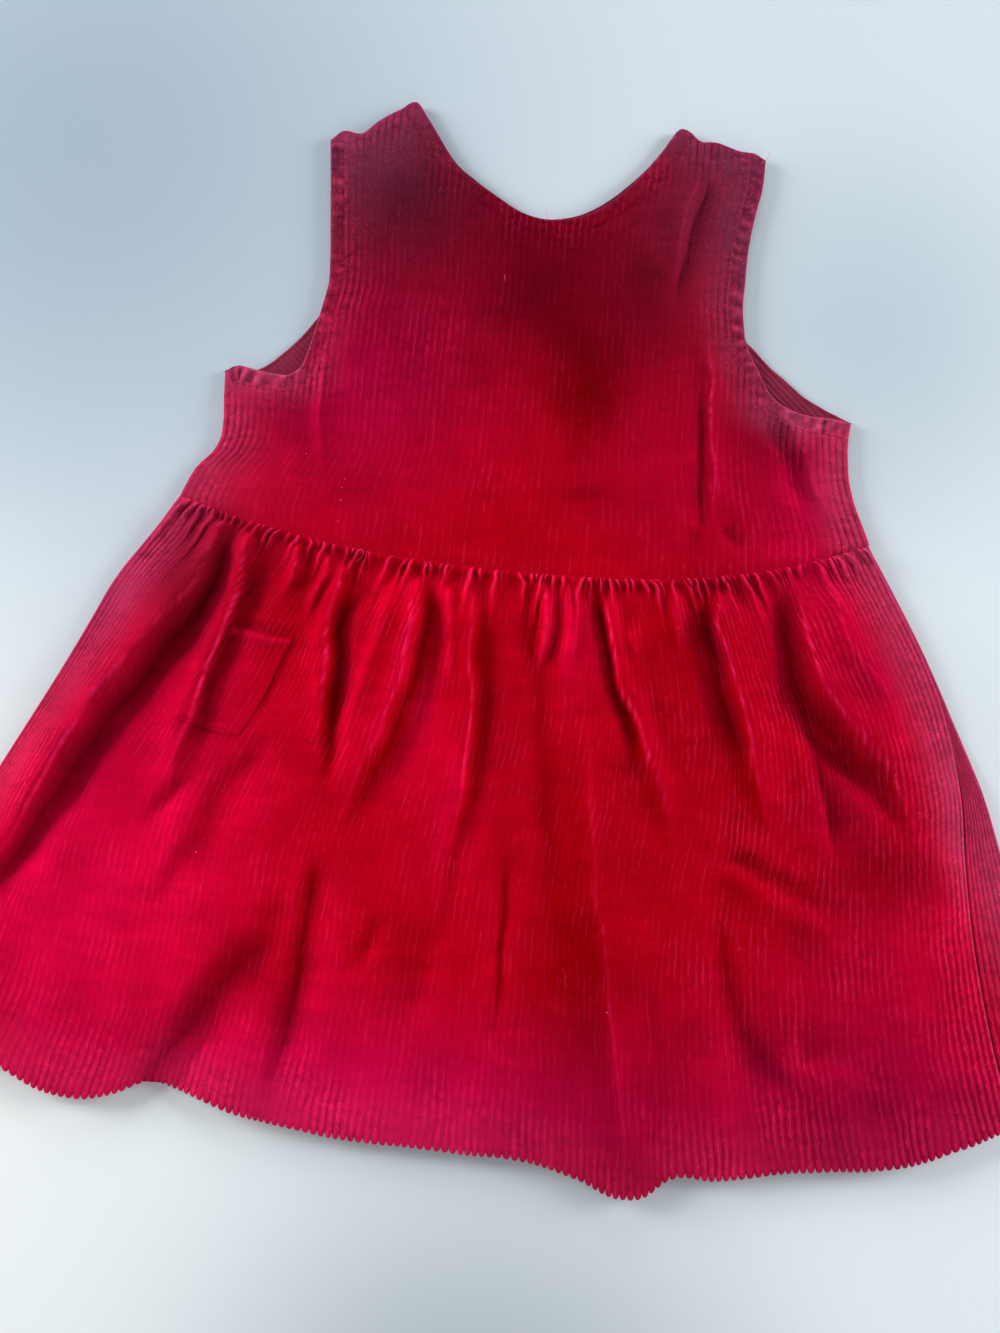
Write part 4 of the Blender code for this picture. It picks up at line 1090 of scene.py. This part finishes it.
def frontBodice():
    cords = [round(wide / cloth["pitch"]) for wide in np.diff(bodice["corners"])]
    rows, chestRow = bodiceRows()
    passed, cordHeight = cordPlaces(sum(cords))
    x, y = bodicePlan(passed, cords, rows, frontArmholes)
    edges = bodiceEdges(frontArmholes)
    away, along = {}, {}
    for name, line in edges.items():
        away[name], along[name] = nearest(line, x, y)
    fromArm = np.minimum(away["left"], away["right"])
    armRun = np.where(away["left"] < away["right"], along["left"], along["right"])
    fromBand = np.minimum(fromArm, away["neck"])
    fromEdge = np.minimum(fromBand, away["shoulders"])
    fromSide = np.minimum(x - x[:, :1], x[:, -1:] - x)
    fromSide = fromSide + bodice["noSide"] * (rows[:, None] > 0.9995)
    fromWaist = y - waistLine(x)

    # lofted inside its edges, with its folds
    loft = bodice["loft"] * (1 - np.exp(-fromSide / bodice["loftReach"]))
    loft = loft * (0.35 + 0.65 * ease(fromBand / 25))
    fold = foldRise(x, y, bodiceFolds) * ease(fromSide / 10) * ease(fromBand / 8)
    z = cloth["under"] + cloth["gap"] + np.maximum(loft + fold, 0.0)
    # the bands are puffed and puckered, the armholes' more than the neck's
    band = bodice["band"]
    puff = bodice["puff"] * np.clip(1 - ((fromBand - 0.45 * band) / (0.5 * band)) ** 2, 0, 1)
    pucker = 2 * math.pi * armRun / bodice["puckerStep"] + 2.2 * np.sin(armRun / 8.3) + 0.2 * fromArm
    pucker = 0.5 + 0.5 * np.sin(pucker)
    pucker = pucker * np.clip(0.8 + ripple(x, y, 55, 0.5, 12, 30), 0.2, 1.2)
    onBand = ease((band - fromArm) / 2.5) * ease(fromArm / 2.5)
    puff += bodice["pucker"] * (pucker - 0.6) * onBand
    # the cords are kinked along the edges
    kink = np.sin(2 * math.pi * (y + ripple(x, y, 61, 1.6, 10, 30)) / bodice["kinkStep"])
    kink = kink * np.clip(ripple(x, y, 62, 1.3, 6, 20), 0, 1) * np.exp(-np.minimum(fromEdge, fromSide) / 15)
    kink = kink * ease(fromEdge / 2) * ease(fromSide / 2)
    puff += 0.3 * kink
    # sunk lines of stitching, and the seam's turnings under the waist
    sewn = 0.14 * dip(fromBand - band, 0.8) + 0.1 * dip(fromWaist - bodice["waistStitch"], 0.7)
    seam = 0.35 * ease((8 - fromWaist) / 4)
    edge = np.minimum(roundOff(fromEdge, cloth["edge"]), roundOff(fromWaist, *cloth["seamRound"]))
    edge = np.minimum(edge, roundOff(fromSide, cloth["edge"]))
    wavy = ripple(x, y, 3, 0.2, 14, 40) * ease(fromBand / 14) * ease(fromSide / 8) * ease(fromWaist / 10)
    height = (cloth["ground"] + puff + seam - sewn) * edge
    smooth = np.stack([x, y, z + np.maximum(height, 0.3) + wavy])
    normal = normalsOf(*smooth)
    upright = crushed(x, y, np.minimum(fromSide, fromEdge), 99.0, 22)
    # brushed up on the left of the chest
    upright = upright + 0.3 * np.exp(-((x + 60) / 50) ** 2 - ((y - 110) / 45) ** 2)
    pinched = (1 - 0.2 * dip(fromBand - band, 0.8)) * (1 - 0.3 * dip(fromWaist - bodice["waistStitch"], 0.7))
    bandCords = 0.15 + 0.85 * ease((fromBand - band + 1.5) / 1.5)
    pile = cordHeight[None, :] * cloth["pile"] * pinched * bandCords * (0.35 + 0.65 * ease(fromSide / 1.2))
    pile = pile * (0.05 + 0.95 * ease((fromEdge - 0.5) / 2.5)) * upright * (0.1 + 0.9 * ease(fromWaist / 1.0))
    outer = smooth + normal * pile
    outer[1] = np.maximum(outer[1], waistLine(outer[0]) + 0.6 * cloth["seam"])
    inner = np.stack([x, y, z])
    gone = besideStraps(passed, cords, rows, chestRow)
    cordAt = np.repeat(passed[None, :] + bodice["weaveFrom"], len(rows), axis=0)
    weave = np.stack([cordAt, y / cloth["pitch"]])
    lie = np.stack([x, y, z + puff + wavy])
    soft = ease(fromBand / 10) * ease(fromSide / 8)
    # the slope of the cloth's last rows beside the straps is that of the rows below them
    slope = normalsOf(*lie)
    strapFrom, strapTo = perCord * cords[0], perCord * (cords[0] + cords[1])
    slope[:, chestRow, :strapFrom] = slope[:, chestRow - 1, :strapFrom]
    slope[:, chestRow, strapTo + 1:] = slope[:, chestRow - 1, strapTo + 1:]
    slope[:, chestRow:, strapFrom] = slope[:, chestRow:, strapFrom + 1]
    slope[:, chestRow:, strapTo] = slope[:, chestRow:, strapTo - 1]
    # painted highlights and shade on the folds, the puckered bands and the kinks, and painted highlight along
    # the edges
    crest = foldCrest(x, y, bodiceFolds, 1.8) + (0.7 * pucker ** 2 - 0.2) * onBand + 0.4 * kink
    crest = crest + 0.5 * (1 - ease(np.minimum(fromEdge, fromSide) / 1.0))
    # painted shade along the neck band's stitching
    crest = crest - 0.25 * dip(away["neck"] - 7.5, 1.0)
    fromOutside = np.minimum(np.minimum(fromArm, away["shoulders"]), fromSide)
    paintedLightAndPile = paintedLightAndPileOf(x, y, lie[2], slope, crest, upright, soft, fromEdge, fromOutside)
    return layCloth("frontBodiceCloth", corduroy, inner, outer, weave, perCord, gone, paintedLightAndPile), edges


frontBodiceCloth, frontEdges = frontBodice()

# The back of the bodice: its inner side shows at the armholes.
backCut = {"cords": (26, 90, 26), "neckDrop": 3.0, "edge": 1.2, "seamIn": 2.2, "seamDeep": 0.35}


def backBodice():
    cords = backCut["cords"]
    low = list(np.linspace(0, 0.8, 8)) + [0.86, 0.9, 0.93, 0.95, 0.965, 0.978, 0.988, 0.995]
    high = [0.0, 0.01, 0.03] + list(np.linspace(0.08, 0.9, 14)) + [0.93, 0.955, 0.975, 0.988, 0.996, 1.0]
    rows = np.array(low + [1 + part for part in high])
    p = np.linspace(0, sum(cords), sum(cords) + 1)
    # two more columns close to each edge, so that it rounds
    near = np.array([0.15, 0.4])
    ends = [near, cords[0] + near, cords[0] + cords[1] - near, sum(cords) - near]
    p = np.sort(np.concatenate([p, *ends]))
    x, y = bodicePlan(p, cords, rows, backArmholes, backCut["neckDrop"])
    edges = bodiceEdges(backArmholes)
    fromEdge = np.minimum(nearest(edges["left"], x, y)[0], nearest(edges["right"], x, y)[0])
    top = cloth["under"] * roundOff(fromEdge, backCut["edge"])
    top = top - backCut["seamDeep"] * dip(fromEdge - backCut["seamIn"], 0.7)
    outer, inner = np.stack([x, y, top]), np.stack([x, y, np.zeros_like(x)])
    gone = besideStraps(p, cords, rows, len(low))
    weave = np.stack([x, y]) / cloth["pitch"]
    return layCloth("backBodiceCloth", inside, inner, outer, weave, 1, gone)


backBodiceCloth = backBodice()


def pocket():
    passed, cordHeight = cordPlaces(pocketCut["last"] - pocketCut["first"])
    length = (pocketCut["bottom"] - pocketCut["top"]) * skirt["length"]
    close = np.array([2.0, 1.3, 0.8, 0.4, 0.15, 0])  # rows near the top and the bottom edge
    down = np.concatenate([close[::-1], np.arange(3, length - 2.2, 1.25), length - close])
    rows = pocketCut["top"] + down / skirt["length"]
    s = skirtCords((pocketCut["first"] + passed) / skirt["cords"], rows)
    v = np.repeat(rows[:, None], len(passed), axis=1)
    x, y, z = skirtLie(crooked(s, v), v)
    gather = gatherRise(gatherPlace(pocketCut["first"] + passed), downFromSeam(x, v))
    # moved out square to the skirt, clear of its crushed cords
    face = np.stack([x, y, z + cloth["ground"] + gather + skirtWaves(x, y)])
    normal = normalsOf(*face)
    inner = face + normal * pocketCut["clear"]
    side = np.minimum(passed, passed[-1] - passed)[None, :] * cloth["pitch"]
    fromTop, fromBottom = down[:, None] + 0 * side, (length - down)[:, None] + 0 * side
    fromEdge = np.minimum(np.minimum(side, fromTop), fromBottom)
    sides = np.minimum(side, fromBottom)
    band = pocketCut["band"]
    puff = pocketCut["puff"] * np.clip(1 - ((fromTop - 0.5 * band) / (0.5 * band)) ** 2, 0, 1)
    sewn = 0.15 * dip(fromTop - band, 0.8) + 0.1 * dip(sides - pocketCut["sewnIn"], 0.6)
    height = (pocketCut["wall"] * (0.45 + 0.55 * ease(sides / 12)) + puff - sewn) * roundOff(fromEdge, 1.2)
    height = np.maximum(height + ripple(x, y, 7, 0.08, 12, 26), 0.12)
    pile = 0.35 * cordHeight[None, :] * cloth["pile"] * (0.3 + 0.7 * ease(fromEdge / 1.2))
    outer = inner + normal * (height + pile)
    cordAt = np.repeat(passed[None, :] + pocketCut["weaveFrom"], len(rows), axis=0)
    weave = np.stack([cordAt, -down[:, None] / cloth["pitch"] + 0 * x])
    lie = np.stack([x, y, z + gather + puff])
    # painted highlight under the pocket's top edge and painted shade on the edge itself
    crest = foldCrest(x, y, skirtFolds) + 0.45 * dip(fromTop - 2.2, 1.3) - 0.4 * dip(fromTop, 0.8)
    paintedLightAndPile = paintedLightAndPileOf(x, y, lie[2], normalsOf(*lie), crest, 0.25)
    return layCloth("pocketCloth", corduroy, inner, outer, weave, 1, paintedLightAndPile=paintedLightAndPile)


pocketCloth = pocket()

# Stitches, in millimetres: from one to the next, and the size of each.
stitch = {
    "step": 3.1,
    "length": 2.3,
    "width": 0.2,
    "height": 0.2,
    "sink": 0.05,  # how deep it is pulled into the cloth
    "pocketSink": 0.14,
    "waistSink": 0.06,
}


def treesOf(*pieces):
    # finished pieces, ready to have their height measured
    bpy.context.view_layer.update()
    graph = bpy.context.evaluated_depsgraph_get()
    return [BVHTree.FromObject(piece, graph) for piece in pieces]


def framePoint(x, y, z):
    # a point of the cut at a height in metres
    return Vector(((x - cloth["middle"][0]) * mm, (y - cloth["middle"][1]) * mm, z))


def settle(trees, x, y):
    # height of the cloth at a point of the cut, in metres, or None beside it
    spot = framePoint(x, y, 0.1)
    hits = [tree.ray_cast(spot, (0, 0, -1))[0] for tree in trees]
    hits = [hit.z for hit in hits if hit is not None]
    return max(hits) if hits else None


def bead(mesh, centre, size, along=None):
    # a small ellipsoid, turned so that its length lies along a direction
    matrix = Matrix.Translation(centre)
    if along is not None:
        matrix = matrix @ along.to_track_quat("X", "Z").to_matrix().to_4x4()
    matrix = matrix @ Matrix.Diagonal((*size, 1))
    bmesh.ops.create_uvsphere(mesh, u_segments=6, v_segments=5, radius=1.0, matrix=matrix)


def sew(mesh, path, trees, sink):
    # stitches end to end along a path of points on the cut
    run = np.append(0, np.cumsum(np.linalg.norm(np.diff(path, axis=0), axis=1)))
    for start in np.arange(0.8, run[-1] - stitch["length"], stitch["step"]):
        ends = [(np.interp(at, run, path[:, 0]), np.interp(at, run, path[:, 1]))
                for at in (start, start + stitch["length"])]
        heights = [settle(trees, *end) for end in ends]
        middle = settle(trees, (ends[0][0] + ends[1][0]) / 2, (ends[0][1] + ends[1][1]) / 2)
        if None in heights or middle is None:
            continue
        a, b = (framePoint(x, y, z) for (x, y), z in zip(ends, heights))
        centre = (a + b) / 2
        centre.z = max(middle, (a.z + b.z) / 2) - sink * mm
        bead(mesh, centre, ((b - a).length / 2, stitch["width"] * mm, stitch["height"] * mm), b - a)


def offset(line, distance):
    # a line of points moved to its left by distance
    step = np.gradient(line, axis=0)
    step /= np.linalg.norm(step, axis=1, keepdims=True)
    return line + distance * np.stack([-step[:, 1], step[:, 0]], axis=1)


def keepAway(line, edges, distance):
    # without the points that come too close to another edge
    away = np.min([nearest(edge, line[:, 0], line[:, 1])[0] for edge in edges], axis=0)
    return line[away > distance - 0.35]


def stitching():
    # along the neck and the armholes, then round the pocket
    mesh = bmesh.new()
    onBodice, onPocket = treesOf(frontBodiceCloth), treesOf(pocketCloth)
    edges = [frontEdges[name] for name in ("left", "right", "neck")]
    for edge in edges:
        path = keepAway(offset(edge, -bodice["band"]), edges, bodice["band"])
        sew(mesh, path, onBodice, stitch["sink"])

    def sewPocket(s, v):
        sew(mesh, np.stack(skirtPlan(frontSide, s, v), axis=1), onPocket, stitch["pocketSink"])

    inset = pocketCut["sewnIn"] / cloth["pitch"] / skirt["cords"]
    first, last = pocketCut["first"] / skirt["cords"] + inset, pocketCut["last"] / skirt["cords"] - inset
    bandV = pocketCut["top"] + pocketCut["band"] / skirt["length"]
    bottomV = pocketCut["bottom"] - pocketCut["sewnBottom"]
    for v in (bandV, bottomV):
        s = skirtCords(np.linspace(first, last, 60), np.array([v]))[0]
        sewPocket(s, np.full_like(s, v))
    downV = np.linspace(pocketCut["top"] + pocketCut["sewnTop"], bottomV, 60)
    for side in (first, last):
        sewPocket(skirtCords(np.array([side]), downV)[:, 0], downV)
    return addPiece("stitching", mesh, redThread)


def waistStitching():
    mesh = bmesh.new()
    waistX = np.linspace(waist["left"] + 1.5, waist["right"] - 1.5, 400)
    path = np.stack([waistX, waistLine(waistX) + bodice["waistStitch"]], axis=1)
    sew(mesh, path, treesOf(frontBodiceCloth), stitch["waistSink"])
    return addPiece("waistStitching", mesh, seamThread)


# Loose ends of thread and specks of lint, as points of the cut.
looseEnds = [
    [(-75, 3), (-73, 5), (-71, 4), (-72, 1), (-74, -1)],
    [(-17, 144), (-16.8, 142.5), (-16.6, 141)],
    [(0, 174), (1, 177), (0, 180)],
    [(56, 217), (58, 221), (61, 223)],
    [(103, 212), (106, 216), (107, 219)],
]
lint = {"thread": 0.13, "overlap": 0.62, "length": 0.34, "width": 0.22, "wider": 0.05, "height": 0.16}
lintSpots = [(-83, 38), (-84, 34), (-84, 28), (-84, 18), (-102, 49), (-131, -135), (106, -158), (51, -188)]


def looseBits():
    mesh = bmesh.new()
    trees = treesOf(frontBodiceCloth, frontSkirt)

    def spotOf(x, y):
        return framePoint(x, y, settle(trees, x, y) or 0.003)

    for end in looseEnds:
        line = [spotOf(*point) for point in smoothLine(end, 3)]
        for a, b in zip(line, line[1:]):
            size = ((b - a).length * lint["overlap"], lint["thread"] * mm, lint["thread"] * mm)
            bead(mesh, (a + b) / 2, size, b - a)
    for number, spot in enumerate(lintSpots):
        width = lint["width"] + lint["wider"] * (number % 3)
        bead(mesh, spotOf(*spot), (lint["length"] * mm, width * mm, lint["height"] * mm))
    return addPiece("looseBits", mesh, lintFluff)


sewing, waistSewing, bits = stitching(), waistStitching(), looseBits()

# What each piece rides on and stands for, and its cut.
panels = [
    (frontBodiceCloth, "front_bodice", "corduroy"),
    (frontSkirt, "front_skirt", "corduroy"),
    (pocketCloth, "pocket", "corduroy"),
    (backSkirtCloth, "back_skirt", "corduroy_under"),
    (backBodiceCloth, "back_bodice", "corduroy_under"),
]
for piece, node, slot in panels:
    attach(piece, "root")
    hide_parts(node)
for piece in (sewing, waistSewing, bits):
    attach(piece, "root")

# A pale table with painted light: darker towards the far side, with three spots of painted shade and one
# painted pool of light: x, y, reach and colour of each spot.
stage = {
    "wide": 5.0,
    "below": 0.0003,
    "near": (0.82, 0.88, 0.89),
    "far": (0.63, 0.70, 0.74),
    "fade": 0.34,
    "spots": [
        (-0.24, 0.22, 0.36, (0.34, 0.42, 0.50)),
        (0.17, 0.15, 0.15, (0.50, 0.58, 0.63)),
        (0.02, -0.37, 0.20, (0.42, 0.47, 0.50)),
        (-0.34, -0.24, 0.34, (0.98, 0.98, 0.92)),
    ],
}


def tablePaint():
    paint, tree, shader = newMaterial("tablePaint", {"Roughness": 0.6, "Specular IOR Level": 0.2})
    place = tree.nodes.new("ShaderNodeTexCoord").outputs["Object"]
    axes = newNode(tree, "ShaderNodeSeparateXYZ", {}, {0: place})
    # painted shade: darker towards the far side
    tint = mixNode(tree, rampNode(tree, axes.outputs["Y"], -stage["fade"], stage["fade"]), stage["near"],
                   stage["far"])
    # painted shade in three spots and a painted pool of light in one
    for x, y, reach, shade in stage["spots"]:
        away = newNode(tree, "ShaderNodeVectorMath", {1: (x, y, -stage["below"])}, {0: place})
        away.operation = "DISTANCE"
        close = rampNode(tree, times(tree, away.outputs["Value"], -1.0), -reach, 0.0)
        tint = mixNode(tree, close, tint, shade)
    tree.links.new(tint, shader.inputs["Base Color"])
    return paint


floorMesh = bmesh.new()
bmesh.ops.create_grid(floorMesh, x_segments=1, y_segments=1, size=stage["wide"] / 2)
bmesh.ops.translate(floorMesh, verts=floorMesh.verts, vec=(0, 0, -stage["below"]))
floor = addPiece("tableTop", floorMesh, tablePaint())

camera = {
    "tilt": 8.2,
    "roll": 4.3,
    "place": (0.01064, -0.09239, 0.4494),
    "focus": 1001.0,  # in the picture's own points, as is tall
    "tall": 1333.0,
    "sensor": 36.0,
}
tilt, roll = math.radians(camera["tilt"]), math.radians(camera["roll"])
across = Vector((math.cos(roll), math.sin(roll), 0))
upward = Vector((-math.sin(roll) * math.cos(tilt), math.cos(roll) * math.cos(tilt), math.sin(tilt)))
turn = Matrix((across, upward, across.cross(upward))).transposed().to_4x4()
lens = bpy.data.cameras.new("viewCamera")
lens.sensor_fit = "VERTICAL"
lens.sensor_height = camera["sensor"]
lens.lens = lens.sensor_height * camera["focus"] / camera["tall"]
lens.clip_start = 0.01
viewCamera = bpy.data.objects.new("viewCamera", lens)
viewCamera.matrix_world = Matrix.Translation(camera["place"]) @ turn
bpy.context.scene.collection.objects.link(viewCamera)
bpy.context.scene.camera = viewCamera

# Soft light: the room's sky and four windows, each with its place, size and power.
room = {"sky": (0.86, 0.92, 1.0), "skyStrength": 0.30, "window": (0.97, 0.98, 1.0)}
windows = {
    "leftWindow": ((-1.4, 0.4, 0.45), 0.6, 27.5),
    "rightWindow": ((1.4, 0.4, 0.45), 0.6, 21.0),
    "farWindow": ((-0.1, 2.6, 0.74), 0.8, 26.0),
    "nearWindow": ((0.1, -2.2, 0.90), 0.8, 11.0),
}
sky = bpy.data.worlds.new("roomSky")
sky.use_nodes = True
sky.node_tree.nodes["Background"].inputs["Color"].default_value = (*room["sky"], 1.0)
sky.node_tree.nodes["Background"].inputs["Strength"].default_value = room["skyStrength"]
bpy.context.scene.world = sky
for name, (place, size, power) in windows.items():
    light = bpy.data.lights.new(name, "AREA")
    light.size = size
    light.energy = power
    light.color = room["window"]
    holder = bpy.data.objects.new(name, light)
    holder.location = place
    holder.rotation_euler = (-Vector(place)).to_track_quat("-Z", "Y").to_euler()
    bpy.context.scene.collection.objects.link(holder)
bpy.context.scene.view_settings.view_transform = "Standard"
print("table, light and camera ready")
